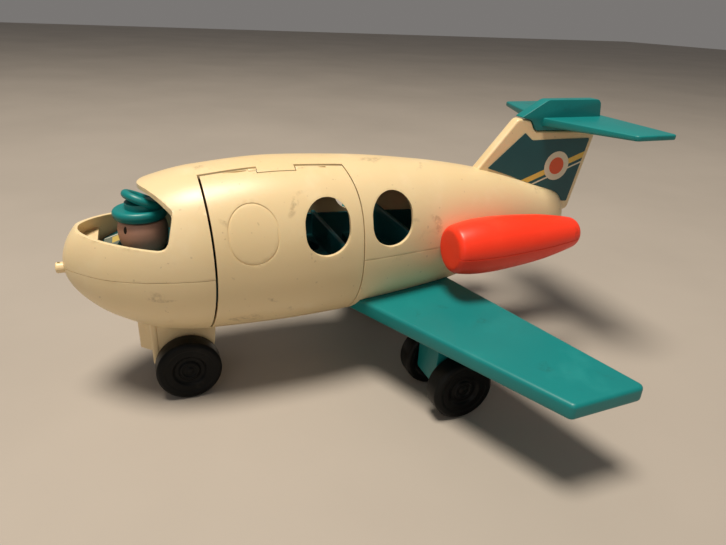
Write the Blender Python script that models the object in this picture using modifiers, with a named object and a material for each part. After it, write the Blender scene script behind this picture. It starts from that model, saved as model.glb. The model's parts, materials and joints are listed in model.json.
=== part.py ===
"""Toy jet airplane with a hinged cabin door, a swivelling pilot and rolling wheels.

Frame: +Z up, wheels on z = 0, nose towards -Y, port side (the side with the door) towards +X.
The origin is under the middle of the whole airplane. Sizes below are in millimetres, and every
mesh is made in metres.
"""

import math

import bmesh
import bpy
import numpy as np
from mathutils import Matrix, Vector

MM = 0.001
GAP = 0.3

# Fuselage: a loft of superellipse sections about the moulding seam.
SEAM_Z = 88.0
SECTION_POWER = 2.2
WALL = 2.4
HULL_STATIONS = (
    # y, half width, rise above the seam, drop below the seam
    (-180.0, 7.0, 13.0, 8.0),
    (-172.0, 15.6, 21.6, 19.5),
    (-155.0, 30.3, 34.9, 32.5),
    (-130.0, 40.6, 47.3, 43.0),
    (-105.0, 44.5, 52.6, 46.4),
    (-60.0, 45.0, 56.1, 47.4),
    (-15.0, 41.5, 54.7, 46.6),
    (40.0, 34.7, 49.3, 40.2),
    (85.0, 26.8, 41.5, 29.1),
    (130.0, 16.6, 28.8, 14.5),
    (161.0, 9.0, 17.0, 5.0),
    (164.5, 5.0, 9.0, 2.0),
)
RING_POINTS = 32

# Cabin door, hinged along its top edge on the port side.
DOOR_FRONT_Y, DOOR_REAR_Y = -100.7, -14.0
DOOR_FRONT_GAP, DOOR_REAR_GAP, DOOR_BOTTOM_GAP = 1.3, 0.7, 0.8
DOOR_BOTTOM_Z = 50.0
DOOR_WAIST_Z, DOOR_ABOVE_WAIST, DOOR_BELOW_WAIST = 92.0, 48.5, 36.0
DOOR_FRONT_BOW, DOOR_REAR_BOW, DOOR_LOWER_BOW = 3.2, 6.5, 2.6
HINGE_X, HINGE_Y, HINGE_Z = 16.0, -61.0, 139.9
HINGE_LUG_LENGTH, HINGE_EAR_LENGTH = 22.0, 4.5
HINGE_PIN_RADIUS, HINGE_HOLE_RADIUS = 0.5, 0.75
LUG_BARREL_RADIUS, EAR_BARREL_RADIUS = 1.2, 1.6
DOOR_EDGE_X = HINGE_X - 0.9
SHELL_EDGE_X = HINGE_X - 2.7
TAB_EDGE_X, NOTCH_EDGE_X = HINGE_X + 2.6, HINGE_X + 3.3

# Windows, all the same upright stadium.
WINDOW_WIDTH, WINDOW_HEIGHT, WINDOW_Z = 28.0, 33.0, 110.8
DOOR_WINDOW_Y, REAR_WINDOW_Y = -36.3, 6.4

# Wing with its belly fairing and the two main gear legs.
WING_TOP_Z = 59.6
WING_ROOT_THICKNESS, WING_TIP_THICKNESS = 10.5, 9.5
WING_HALF_SPAN = 168.0
WING_LEADING_ROOT_Y, WING_LEADING_TIP_Y = -25.0, 45.8
WING_TRAILING_ROOT_Y, WING_TRAILING_TIP_Y = 52.9, 91.2
WING_PITCH, WING_PITCH_Y = 0.042, 59.0
CHANNEL_WALL = 2.4

# Wheels and axles.
WHEEL_RADIUS, WHEEL_WIDTH = 19.6, 13.0
AXLE_RADIUS = 1.6
MAIN_AXLE_Y, NOSE_AXLE_Y = 33.0, -119.4
NOSE_WHEEL_INNER_X = 13.3
MAIN_WHEEL_INNER_X, MAIN_WHEEL_OUTER_X = 44.0, 83.0
LEG_X = (57.9, 82.1)
LEG_FRONT_Y, LEG_REAR_Y, LEG_BOTTOM_Z = 20.0, 46.0, 12.0

# Nose gear bracket, moulded with the lower shell.
BRACKET_PLATE_X = (9.6, 12.3)
BRACKET_OUTLINE = (
    (-139, 62), (-139, 19.5), (-136, 17.5), (-130.5, 16.5), (-125, 11.5), (-112, 11.5), (-102, 28),
    (-99, 62),
)
BRACKET_RIB_X, BRACKET_RIB_Y, BRACKET_RIB_BOTTOM_Z = (7.6, 12.9), (-139.5, -135.2), 20.0
BRACKET_BOW = (
    (-9.0, -137.0), (-9.0, -139.2), (-2.6, -146.0), (2.6, -146.0), (9.0, -139.2), (9.0, -137.0),
    (1.6, -142.0), (-1.6, -142.0),
)
BRACKET_BOW_BOTTOM_Z = 28.0

# Pilot, who turns about a vertical axis and rests looking a little to port.
PILOT_Y = -136.0
PILOT_REST_TURN = math.radians(20)
PILOT_SHAFT_RADIUS, PILOT_SHAFT_HOLE_RADIUS = 2.5, 2.8
PILOT_SHAFT_BOTTOM_Z, PILOT_SOCKET_TOP_Z, PILOT_BODY_Z = 58.0, 72.0, 73.0
PILOT_WELL_RADIUS = 14.8

# Engines.
ENGINE_X, ENGINE_Z = 48.0, 94.5
ENGINE_PROFILE = (
    # y, radius
    (40.8, 0.0), (41.4, 11.0), (43.0, 14.2), (46.5, 15.8), (53.0, 17.0), (61.0, 17.6),
    (69.0, 17.7), (77.0, 17.4), (91.0, 16.5), (106.0, 15.0), (117.0, 13.2), (127.0, 11.0),
    (133.0, 8.8), (136.4, 5.4), (137.4, 0.0),
)
ENGINE_PEGS = ((62.0, 26.0), (92.0, 19.5))
ENGINE_PEG_RADIUS = 4.0
ENGINE_PITCH, ENGINE_PITCH_Y = 0.036, 112.0

# Fin and stabilizer.
FIN_HALF = 4.0
FIN_OUTLINE = (
    (60, 103.7), (110.3, 163.4), (120.6, 161.4), (124.8, 154.2), (176, 153.2), (178, 151.2),
    (165.6, 95.4), (150, 92),
)
STABILIZER_TOP_Z, STABILIZER_HALF_SPAN = 163.4, 71.0
STABILIZER_ROOT_THICKNESS, STABILIZER_TIP_THICKNESS = 6.2, 3.4
STABILIZER_KEEL = (
    (112.0, 163.8), (132.0, 175.3), (175.0, 175.3), (177.5, 173.0), (180.0, 157.5),
    (175.0, 154.8), (125.0, 154.8), (120.9, 161.7),
)
TONGUE_Y, TONGUE_BOTTOM_Z, FIN_SLOT_Z = (136.0, 170.0), 147.0, (146.6, 161.0)

# Screws that hold the shells and the wing: name, x, y, head z, tip z.
SCREW_RADIUS, SCREW_HEAD_RADIUS, SCREW_HEAD_HEIGHT = 1.4, 3.0, 2.0
SHELL_SCREWS = (
    ("shell_screw_nose", 0.0, -165.0, 72.0, 97.0),
    ("shell_screw_port", 16.5, 75.0, 66.0, 97.0),
    ("shell_screw_starboard", -16.5, 75.0, 66.0, 97.0),
    ("shell_screw_tail", 0.0, 128.0, 78.5, 98.0),
)
WING_SCREWS = (
    ("wing_screw_front", 0.0, -8.0, 51.0, 74.0),
    ("wing_screw_rear", 0.0, 36.0, 52.0, 74.0),
)
BOSS_RADIUS = 4.3
SHELL_BORE_TOP = 98.5

# Cabin deck.
DECK_TOP_Z, DECK_THICKNESS = 65.0, 2.4
SEAT_ROWS = ((-61.0, 94.0), (-21.0, 95.0), (25.0, 98.0))
SEAT_DEPTH, SEAT_BASE_Z, SEAT_BACK_THICKNESS = 24.0, 78.0, 3.0
SEAT_WELL_RADIUS, SEAT_WELL_X, SEAT_WELL_DEPTH = 10.3, 14.5, 10.0
CABIN_WALL_TOP_Z, CABIN_WALL_THICKNESS = 93.0, 2.0

# Nose ledge with its screw post, and the tow peg.
NOSE_LEDGE_REAR_Y, NOSE_POST_TOP_Z = -161.0, 99.0
TOW_PEG_Z, TOW_PEG_HOLE_RADIUS = 86.3, 3.5

CREAM, TURQUOISE, DEEP_TEAL = (0.80, 0.66, 0.42), (0.02, 0.30, 0.29), (0.005, 0.10, 0.11)
ORANGE, BLACK, STEEL = (0.95, 0.08, 0.03), (0.012, 0.012, 0.013), (0.55, 0.55, 0.57)
PINK, GREY = (0.42, 0.22, 0.18), (0.32, 0.34, 0.33)


# ---------------------------------------------------------------- scene and helpers

def clear_scene():
    for item in list(bpy.data.objects):
        bpy.data.objects.remove(item, do_unlink=True)


def make_collection(name, hidden=False):
    collection = bpy.data.collections.new(name)
    bpy.context.scene.collection.children.link(collection)
    collection.hide_render = hidden
    return collection


clear_scene()
PARTS = make_collection("toy_airplane")
CUTTERS = make_collection("cutters", hidden=True)
MATERIALS = {}


def plastic(name, colour, roughness=0.35, metallic=0.0):
    """One Principled material for each finish, shared by the parts that have it."""
    if name not in MATERIALS:
        material = bpy.data.materials.new(name)
        material.use_nodes = True
        shader = material.node_tree.nodes["Principled BSDF"]
        shader.inputs["Base Color"].default_value = (*colour, 1)
        shader.inputs["Roughness"].default_value = roughness
        shader.inputs["Metallic"].default_value = metallic
        MATERIALS[name] = material
    return MATERIALS[name]


def object_from(bm, name, collection=CUTTERS):
    """Turn a bmesh made in millimetres into an object in metres."""
    bmesh.ops.recalc_face_normals(bm, faces=bm.faces)
    bmesh.ops.scale(bm, vec=(MM, MM, MM), verts=bm.verts)
    mesh = bpy.data.meshes.new(name)
    bm.to_mesh(mesh)
    bm.free()
    item = bpy.data.objects.new(name, mesh)
    collection.objects.link(item)
    if collection is CUTTERS:
        item.hide_render = True
        item.display_type = "WIRE"
    return item


def box(name, x, y, z, collection=CUTTERS):
    """A box from its (low, high) limits on each axis."""
    bm = bmesh.new()
    bmesh.ops.create_cube(bm, size=1)
    size = [high - low for low, high in (x, y, z)]
    middle = [(high + low) / 2 for low, high in (x, y, z)]
    bmesh.ops.scale(bm, vec=size, verts=bm.verts)
    bmesh.ops.translate(bm, vec=middle, verts=bm.verts)
    return object_from(bm, name, collection)


def rod(name, centre, radius, length, axis="Z", sides=20, collection=CUTTERS):
    """A cylinder about a main axis, with its middle at centre and no corner on a plane of symmetry."""
    bm = bmesh.new()
    bmesh.ops.create_cone(
        bm, cap_ends=True, segments=sides, radius1=radius, radius2=radius, depth=length
    )
    bmesh.ops.rotate(bm, matrix=Matrix.Rotation(math.pi / sides, 3, "Z"), verts=bm.verts)
    turn = {"X": Matrix.Rotation(math.pi / 2, 3, "Y"), "Y": Matrix.Rotation(math.pi / 2, 3, "X")}
    if axis in turn:
        bmesh.ops.rotate(bm, cent=(0, 0, 0), matrix=turn[axis], verts=bm.verts)
    bmesh.ops.translate(bm, vec=centre, verts=bm.verts)
    return object_from(bm, name, collection)


def prism(name, outline, low, high, across="Z", collection=CUTTERS):
    """Extrude a flat outline. Across Z its points are (x, y), and across X they are (y, z)."""
    bm = bmesh.new()
    if across == "Z":
        corners = [bm.verts.new((a, b, low)) for a, b in outline]
        move = (0, 0, high - low)
    else:
        corners = [bm.verts.new((low, a, b)) for a, b in outline]
        move = (high - low, 0, 0)
    face = bm.faces.new(corners)
    grown = bmesh.ops.extrude_face_region(bm, geom=[face])
    moved = [part for part in grown["geom"] if isinstance(part, bmesh.types.BMVert)]
    bmesh.ops.translate(bm, vec=move, verts=moved)
    return object_from(bm, name, collection)


def turned(name, profile, centre, axis, steps=28, collection=PARTS):
    """A turned shape. The profile is (place along the axis, radius), and lists rising places."""
    bm = bmesh.new()
    points = [bm.verts.new((radius, 0, along)) for along, radius in reversed(profile)]
    for first, second in zip(points, points[1:]):
        bm.edges.new((first, second))
    bmesh.ops.spin(
        bm, geom=bm.verts[:] + bm.edges[:], cent=(0, 0, 0), axis=(0, 0, 1),
        angle=2 * math.pi, steps=steps, use_merge=True,
    )
    bmesh.ops.remove_doubles(bm, verts=bm.verts, dist=0.001)
    if axis == "X":
        bmesh.ops.rotate(bm, matrix=Matrix.Rotation(math.pi / 2, 3, "Y"), verts=bm.verts)
    if axis == "Y":
        bmesh.ops.rotate(bm, matrix=Matrix.Rotation(-math.pi / 2, 3, "X"), verts=bm.verts)
    bmesh.ops.translate(bm, vec=centre, verts=bm.verts)
    return object_from(bm, name, collection)


def combine(item, operation, *others):
    """Add one exact Boolean for each of the other solids."""
    for other in others:
        modifier = item.modifiers.new(f"{operation.lower()} {other.name}", "BOOLEAN")
        modifier.operation = operation
        modifier.solver = "EXACT"
        modifier.object = other
    return item


def round_edges(item, width, segments=2, angle=40):
    modifier = item.modifiers.new("rounded edges", "BEVEL")
    modifier.width = width * MM
    modifier.segments = segments
    modifier.limit_method = "ANGLE"
    modifier.angle_limit = math.radians(angle)
    return item


def bake(item):
    """Make the modifiers' result the mesh itself, so that a cutter can be built in steps."""
    bpy.context.view_layer.update()
    graph = bpy.context.evaluated_depsgraph_get()
    mesh = bpy.data.meshes.new_from_object(item.evaluated_get(graph))
    item.modifiers.clear()
    item.data = mesh
    return item


def finish(item, material):
    """Give a part its material, even triangles and smooth shading."""
    triangles = item.modifiers.new("even triangles", "TRIANGULATE")
    triangles.quad_method = "BEAUTY"
    triangles.ngon_method = "BEAUTY"
    item.data.materials.clear()
    item.data.materials.append(material)
    item.data.shade_smooth()
    item.data.set_sharp_from_angle(angle=math.radians(35))
    return item


def set_axis(item, x, y, z):
    """Move an object's origin to a point on its joint axis, and leave its shape in place."""
    place = Vector((x, y, z)) * MM
    item.data.transform(Matrix.Translation(-place))
    item.location = place
    return item


# ---------------------------------------------------------------- hull

def smooth_through(places, values):
    """A monotone cubic through the stations, as a batten would lie."""
    steps = np.diff(places)
    rates = np.diff(values) / steps
    slopes = np.concatenate(([rates[0]], np.zeros(len(rates) - 1), [rates[-1]]))
    for i in range(1, len(rates)):
        before, after = rates[i - 1], rates[i]
        if before * after > 0:
            slopes[i] = 2 * before * after / (before + after)

    def value(y):
        i = int(np.clip(np.searchsorted(places, y) - 1, 0, len(rates) - 1))
        t = float(np.clip((y - places[i]) / steps[i], 0, 1))
        return (
            values[i] * (1 + 2 * t) * (1 - t) ** 2
            + slopes[i] * steps[i] * t * (1 - t) ** 2
            + values[i + 1] * t * t * (3 - 2 * t)
            + slopes[i + 1] * steps[i] * t * t * (t - 1)
        )

    return value


STATION_TABLE = np.array(HULL_STATIONS)
HALF_WIDTH, RISE, DROP = (
    smooth_through(STATION_TABLE[:, 0], STATION_TABLE[:, column]) for column in (1, 2, 3)
)


def hull_ring(y, inset):
    """The section at y, drawn in by inset."""
    width, rise, drop = (max(f(y) - inset, 0.4) for f in (HALF_WIDTH, RISE, DROP))
    points = []
    for k in range(RING_POINTS):
        c, s = (f(2 * math.pi * k / RING_POINTS) for f in (math.cos, math.sin))
        x = width * math.copysign(abs(c) ** (2 / SECTION_POWER), c)
        z = (rise if s > 0 else drop) * math.copysign(abs(s) ** (2 / SECTION_POWER), s)
        points.append((x, y, SEAM_Z + z))
    return points


def hull(name, inset=0.0, collection=CUTTERS):
    """The fuselage as one closed solid, drawn in by inset all over."""
    nose, tail = HULL_STATIONS[0][0], HULL_STATIONS[-1][0]
    places = [nose + 62 * (k / 8) ** 2 for k in range(9)]
    places += [-100, *range(-80, 141, 20), 152, 161, tail]
    places = [y for y in places if nose + max(inset, 0) < y + 0.01 and y - 0.01 < tail - inset]
    bm = bmesh.new()
    rings = [[bm.verts.new(point) for point in hull_ring(y, inset)] for y in places]
    for first, second in zip(rings, rings[1:]):
        for k in range(RING_POINTS):
            after = (k + 1) % RING_POINTS
            bm.faces.new((first[k], first[after], second[after], second[k]))
    for ring, push in ((rings[0], -0.6), (rings[-1], 0.8)):
        middle = sum((vert.co for vert in ring), Vector()) / RING_POINTS
        pole = bm.verts.new(middle + Vector((0, push, 0)))
        for k in range(RING_POINTS):
            bm.faces.new((ring[k], ring[(k + 1) % RING_POINTS], pole))
    return object_from(bm, name, collection)


def hull_slice(name, x, y, z, inset=1.0):
    """The part of the hull's inside that lies in a box, for ledges, ribs and floors."""
    return bake(combine(box(name, x, y, z), "INTERSECT", hull(name + " hull", inset)))


def stadium(width, height, y, z, steps=9):
    """An upright stadium outline in (y, z)."""
    radius, straight = width / 2, (height - width) / 2
    turns = [math.pi * k / steps for k in range(steps + 1)]
    top = [(y + radius * math.cos(t), z + straight + radius * math.sin(t)) for t in turns]
    bottom = [(y - radius * math.cos(t), z - straight - radius * math.sin(t)) for t in turns]
    return top + bottom


def window_cutter(name, y, side):
    low, high = sorted((side * 12, side * 60))
    return prism(name, stadium(WINDOW_WIDTH, WINDOW_HEIGHT, y, WINDOW_Z), low, high, "X")


def cockpit_cutter():
    """The windscreen opening: level sills, an upright rear edge and a pointed brow."""
    side = (
        (-185, 160), (-171.6, 109.6), (-168, 109.1), (-129, 105.0), (-126, 106.0), (-124.3, 108.6),
        (-119.8, 126), (-118, 160),
    )
    half_brow = ((60, -118.4), (35, -118.8), (31, -120.2), (25, -125.0), (17, -130.4), (8, -135.0))
    brow = [*half_brow, (0, -137.0), *((-x, y) for x, y in reversed(half_brow))]
    plan = [(-60, -200), (60, -200), *brow]
    opening = prism("cockpit side cutter", side, -60, 60, "X")
    return bake(combine(opening, "INTERSECT", prism("cockpit plan cutter", plan, 90, 170)))


def door_bow(z, above, power):
    """How far forward a door edge lies at height z, from its place at the door's waist."""
    if z < DOOR_WAIST_Z:
        return DOOR_LOWER_BOW * ((DOOR_WAIST_Z - z) / DOOR_BELOW_WAIST) ** 2
    return above * min((z - DOOR_WAIST_Z) / DOOR_ABOVE_WAIST, 1.05) ** power


def door_region(name, margin_x, front, rear, bottom):
    """The stretch of the hull's port side that the door fills, between its two bowed edges."""
    levels = [bottom, 60, 71, 82, DOOR_WAIST_Z, 103, 114, 122, 128, 133, 137, 140.5, 144, 190]
    front_edge = [(front - door_bow(z, DOOR_FRONT_BOW, 2), z) for z in levels]
    rear_edge = [(rear - door_bow(z, DOOR_REAR_BOW, 4), z) for z in reversed(levels)]
    return prism(name, front_edge + rear_edge, margin_x, 80, "X")


def pitched(item):
    """Lean a wing shape nose-down about the pitch line."""
    for vert in item.data.vertices:
        vert.co.z += WING_PITCH * (vert.co.y - WING_PITCH_Y * MM)
    return item


def wing_plan(grow=0.0, tip_radius=3.5):
    """The wing's outline from above, with rounded tips, and grow added fore and aft."""
    leading = (WING_LEADING_TIP_Y - WING_LEADING_ROOT_Y) / WING_HALF_SPAN
    trailing = (WING_TRAILING_TIP_Y - WING_TRAILING_ROOT_Y) / WING_HALF_SPAN
    side = []
    for corner_y, slope, first, last in (
        (WING_LEADING_TIP_Y - grow, leading, -90 + math.degrees(math.atan(leading)), 0),
        (WING_TRAILING_TIP_Y + grow, trailing, 0, 90 + math.degrees(math.atan(trailing))),
    ):
        inward = 1 if first else -1
        turn = math.radians(last - first)
        reach = tip_radius * math.tan(turn / 2)
        centre = (WING_HALF_SPAN - tip_radius, corner_y + inward * reach)
        for k in range(5):
            angle = math.radians(first) + turn * k / 4
            side.append(
                (centre[0] + tip_radius * math.cos(angle), centre[1] + tip_radius * math.sin(angle))
            )
    nose, tail = (0, WING_LEADING_ROOT_Y - grow), (0, WING_TRAILING_ROOT_Y + grow)
    return [nose, *side, tail, *((-x, y) for x, y in reversed(side))]


def engine_pegs(side, radius):
    """The two round pegs that hold an engine to the hull."""
    pegs = []
    for k, (y, inner_x) in enumerate(ENGINE_PEGS):
        length = ENGINE_X - inner_x
        centre = (side * (ENGINE_X + inner_x) / 2, y, ENGINE_Z)
        pegs.append(rod(f"engine peg {side} {k} {radius}", centre, radius, length, "X", 16))
    return pegs


# ---------------------------------------------------------------- fuselage parts

def screw_bores(radius, low, high):
    """Holes for the shell screws, from low to high."""
    return [
        rod(f"{name} bore {low}", (x, y, (low + high) / 2), radius, high - low, "Z", 16)
        for name, x, y, _, _ in SHELL_SCREWS
    ]


def tow_peg_hole():
    return rod("tow peg hole", (0, -180, TOW_PEG_Z), TOW_PEG_HOLE_RADIUS, 12, "Y", 20)


def make_upper_shell():
    """The upper half with its fin, screw posts, nose ledge and the tab that holds the hinge pin."""
    shell = hull("fuselage_upper_shell", 0.0, PARTS)
    fin = prism("fin blank", FIN_OUTLINE, -FIN_HALF, FIN_HALF, "X")
    bake(round_edges(fin, 1.6, 2, 50))
    combine(shell, "UNION", fin)
    combine(shell, "DIFFERENCE", hull("hull hollow", WALL))
    combine(shell, "INTERSECT", box("upper half", (-90, 90), (-220, 220), (SEAM_Z + 0.15, 220)))
    ledge = hull_slice("nose ledge", (-40, 40), (-182, NOSE_LEDGE_REAR_Y), (98, 100.4))
    combine(shell, "UNION", ledge)
    for name, x, y, _, _ in SHELL_SCREWS:
        low = SEAM_Z + 0.15
        high = NOSE_POST_TOP_Z if y < NOSE_LEDGE_REAR_Y else 150
        post = rod(f"{name} post", (x, y, (low + high) / 2), BOSS_RADIUS, high - low, "Z", 16)
        combine(shell, "UNION", bake(combine(post, "INTERSECT", hull(f"{name} post hull", 1.0))))
    combine(shell, "DIFFERENCE", cockpit_cutter())
    for side in (1, -1):
        combine(shell, "DIFFERENCE", window_cutter(f"rear window {side}", REAR_WINDOW_Y, side))
        combine(shell, "DIFFERENCE", *engine_pegs(side, ENGINE_PEG_RADIUS + GAP))
    combine(shell, "DIFFERENCE", window_cutter("starboard window", DOOR_WINDOW_Y, -1))
    opening = door_region(
        "door opening", SHELL_EDGE_X, DOOR_FRONT_Y - DOOR_FRONT_GAP, DOOR_REAR_Y + DOOR_REAR_GAP,
        DOOR_BOTTOM_Z - DOOR_BOTTOM_GAP,
    )
    half = HINGE_LUG_LENGTH / 2
    tab = box("hinge tab", (0, TAB_EDGE_X), (HINGE_Y - half, HINGE_Y + half), (120, 200))
    combine(shell, "DIFFERENCE", bake(combine(opening, "DIFFERENCE", tab)))
    barrel = rod(
        "lug barrel", (HINGE_X, HINGE_Y, HINGE_Z), LUG_BARREL_RADIUS, HINGE_LUG_LENGTH, "Y"
    )
    bore = rod(
        "lug bore", (HINGE_X, HINGE_Y, HINGE_Z), HINGE_HOLE_RADIUS, HINGE_LUG_LENGTH + 4, "Y", 12
    )
    combine(shell, "UNION", barrel)
    slot = box("fin slot", (-1.9, 1.9), (TONGUE_Y[0] - GAP, TONGUE_Y[1] + GAP), FIN_SLOT_Z)
    combine(shell, "DIFFERENCE", bore, slot, tow_peg_hole())
    combine(shell, "DIFFERENCE", *screw_bores(SCREW_RADIUS + GAP, 84, SHELL_BORE_TOP))
    return finish(shell, plastic("cream_shell", CREAM))


def make_lower_shell():
    """The lower half with the wing channel, the nose gear bracket and its screw columns."""
    shell = hull("fuselage_lower_shell", 0.0, PARTS)
    combine(shell, "DIFFERENCE", bpy.data.objects["hull hollow"])
    combine(shell, "INTERSECT", box("lower half", (-90, 90), (-220, 220), (0, SEAM_Z - 0.15)))
    liner_top_z = WING_TOP_Z + GAP + CHANNEL_WALL
    liner = pitched(prism("channel liner", wing_plan(GAP + CHANNEL_WALL), 30, liner_top_z))
    combine(shell, "UNION", bake(combine(liner, "INTERSECT", hull("liner hull", 0.6))))
    for name, x, y, _, _ in SHELL_SCREWS:
        low, high = 40, SEAM_Z - 0.15
        column = rod(f"{name} column", (x, y, (low + high) / 2), BOSS_RADIUS, high - low, "Z", 16)
        bake(combine(column, "INTERSECT", hull(f"{name} column hull", 0.6)))
        combine(shell, "UNION", column)
    low, high = 40, PILOT_SOCKET_TOP_Z
    socket = rod("pilot socket", (0, PILOT_Y, (low + high) / 2), 6.5, high - low)
    bake(combine(socket, "INTERSECT", hull("pilot socket hull", 0.6)))
    shaft_hole = rod("pilot shaft hole", (0, PILOT_Y, 75), PILOT_SHAFT_HOLE_RADIUS, 2 * (75 - 57))
    combine(shell, "UNION", bake(combine(socket, "DIFFERENCE", shaft_hole)))
    for side in (1, -1):
        low, high = sorted(side * x for x in BRACKET_PLATE_X)
        plate = prism(f"bracket plate {side}", BRACKET_OUTLINE, low, high, "X")
        rib_x = sorted(side * x for x in BRACKET_RIB_X)
        rib = box(f"bracket rib {side}", rib_x, BRACKET_RIB_Y, (BRACKET_RIB_BOTTOM_Z, 62))
        combine(plate, "UNION", rib)
        combine(shell, "UNION", bake(combine(plate, "DIFFERENCE", hull(f"plate hull {side}", 1.2))))
    bow = prism("bracket bow", BRACKET_BOW, BRACKET_BOW_BOTTOM_Z, 62)
    combine(shell, "UNION", bake(combine(bow, "DIFFERENCE", hull("bow hull", 1.2))))
    channel = pitched(prism("wing channel", wing_plan(GAP), 30, WING_TOP_Z + GAP))
    opening = door_region(
        "lower door opening", 10, DOOR_FRONT_Y - DOOR_FRONT_GAP, DOOR_REAR_Y + DOOR_REAR_GAP,
        DOOR_BOTTOM_Z - DOOR_BOTTOM_GAP,
    )
    axle = rod("nose axle hole", (0, NOSE_AXLE_Y, WHEEL_RADIUS), AXLE_RADIUS + GAP, 40, "X", 24)
    combine(shell, "DIFFERENCE", channel, opening, axle, tow_peg_hole())
    combine(shell, "DIFFERENCE", *screw_bores(SCREW_RADIUS + GAP, 40, 95))
    for name, x, y, head_z, _ in SHELL_SCREWS:
        top = head_z + SCREW_HEAD_HEIGHT + GAP
        pocket = rod(f"{name} pocket", (x, y, (30 + top) / 2), SCREW_HEAD_RADIUS + 0.4, top - 30)
        combine(shell, "DIFFERENCE", pocket)
    for name, x, y, _, _ in WING_SCREWS:
        hole = rod(f"{name} roof hole", (x, y, 60), SCREW_RADIUS + GAP, 12, "Z", 16)
        combine(shell, "DIFFERENCE", hole)
    return finish(shell, plastic("cream_shell", CREAM))


def make_door():
    """The gull-wing cabin door, with two hinge ears either side of its notch."""
    door = hull("cabin_door", 0.0, PARTS)
    combine(door, "DIFFERENCE", bpy.data.objects["hull hollow"])
    combine(
        door, "INTERSECT",
        door_region("door blank", DOOR_EDGE_X, DOOR_FRONT_Y, DOOR_REAR_Y, DOOR_BOTTOM_Z),
    )
    half = HINGE_LUG_LENGTH / 2
    notch = box(
        "door notch", (0, NOTCH_EDGE_X), (HINGE_Y - half - 0.5, HINGE_Y + half + 0.5), (130, 160)
    )
    combine(door, "DIFFERENCE", notch)
    for side in (1, -1):
        middle = HINGE_Y + side * (half + 0.5 + HINGE_EAR_LENGTH / 2)
        centre = (HINGE_X, middle, HINGE_Z)
        barrel = rod(f"ear barrel {side}", centre, EAR_BARREL_RADIUS, HINGE_EAR_LENGTH, "Y")
        combine(door, "UNION", barrel)
    bore = rod("ear bore", (HINGE_X, HINGE_Y, HINGE_Z), HINGE_HOLE_RADIUS, 60, "Y", 12)
    window = window_cutter("door window", DOOR_WINDOW_Y, 1)
    wing_clearance = pitched(prism("door wing clearance", wing_plan(1.0), 30, WING_TOP_Z + 0.8))
    combine(door, "DIFFERENCE", bore, window, wing_clearance)
    set_axis(door, HINGE_X, HINGE_Y, HINGE_Z)
    return finish(door, plastic("cream_shell", CREAM))


def make_hinge_pin():
    length = HINGE_LUG_LENGTH + 2 * HINGE_EAR_LENGTH
    centre = (HINGE_X, HINGE_Y, HINGE_Z)
    pin = rod("door_hinge_pin", centre, HINGE_PIN_RADIUS, length, "Y", 12, PARTS)
    return finish(pin, plastic("steel", STEEL, 0.3, 1.0))


def make_tow_peg():
    """A flanged peg held between the shells at the nose, with a cord eye through it."""
    profile = (
        (-184.6, 0), (-184.6, 2.6), (-184.0, 3.2), (-175.6, 3.2), (-175.6, 4.8), (-173.9, 4.8),
        (-173.9, 0),
    )
    peg = turned("tow_peg", profile, (0, 0, TOW_PEG_Z), "Y", 20)
    combine(peg, "DIFFERENCE", rod("cord eye", (0, -182.6, TOW_PEG_Z), 0.9, 10, "Z", 12))
    return finish(peg, plastic("cream_shell", CREAM))


# ---------------------------------------------------------------- inside

def make_seat_deck():
    """One moulding: the cabin floor, its starboard wall, and three seat rows with two wells each."""
    deck_low, seat_low = DECK_TOP_Z - DECK_THICKNESS, DECK_TOP_Z - 1.0
    deck = box("seat_deck", (-60, 60), (-100.5, 56), (deck_low, DECK_TOP_Z), PARTS)
    for back_y, top_z in SEAT_ROWS:
        front_y = back_y - SEAT_BACK_THICKNESS
        name = f"row {back_y:.0f}"
        back = box(name + " back", (-60, 60), (front_y, back_y), (seat_low, top_z))
        bench_y = (front_y - SEAT_DEPTH, front_y + 1)
        bench = box(name + " bench", (-60, 60), bench_y, (seat_low, SEAT_BASE_Z))
        combine(deck, "UNION", back, bench)
    wall = box("cabin wall", (-60, -5), (-100.5, 56), (seat_low, CABIN_WALL_TOP_Z))
    hollow = hull("cabin wall hollow", WALL + 0.9 + CABIN_WALL_THICKNESS)
    combine(deck, "UNION", bake(combine(wall, "DIFFERENCE", hollow)))
    combine(deck, "INTERSECT", hull("deck hull", WALL + 0.9))
    for back_y, _ in SEAT_ROWS:
        for side in (1, -1):
            y = back_y - SEAT_BACK_THICKNESS - SEAT_DEPTH / 2
            well = rod(
                f"well {back_y:.0f} {side}", (side * SEAT_WELL_X, y, SEAT_BASE_Z),
                SEAT_WELL_RADIUS, 2 * SEAT_WELL_DEPTH, "Z", 20,
            )
            combine(deck, "DIFFERENCE", well)
    for name, x, y, _, tip_z in WING_SCREWS:
        length = 2 * (tip_z + 1 - DECK_TOP_Z)
        bore = rod(f"{name} deck bore", (x, y, DECK_TOP_Z), SCREW_RADIUS + GAP, length, "Z", 16)
        combine(deck, "DIFFERENCE", bore)
    return finish(deck, plastic("deep_teal", DEEP_TEAL, 0.4))


def make_cockpit_insert():
    """The cockpit tub: a floor round the pilot, a raked panel ahead and a bulkhead behind."""
    low, floor = 89.0, 91.0
    insert = box("cockpit_insert", (-60, 60), (-160, -107), (low, floor), PARTS)
    panel = prism("raked panel", ((-160, 90), (-160, 92.6), (-149, 96.2), (-149, 90)), -60, 60, "X")
    bulkhead = box("bulkhead", (-60, 60), (-108, -106), (low + 0.8, 139))
    combine(insert, "UNION", panel, bulkhead)
    combine(insert, "INTERSECT", hull("insert hull", WALL + 0.8))
    well = rod("pilot well", (0, PILOT_Y, 90), PILOT_WELL_RADIUS, 20, "Z", 28)
    post = rod("nose post clearance", (0, -165, 95), BOSS_RADIUS + 0.8, 30, "Z", 16)
    combine(insert, "DIFFERENCE", well, post)
    return finish(insert, plastic("deep_teal", DEEP_TEAL, 0.4))


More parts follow.
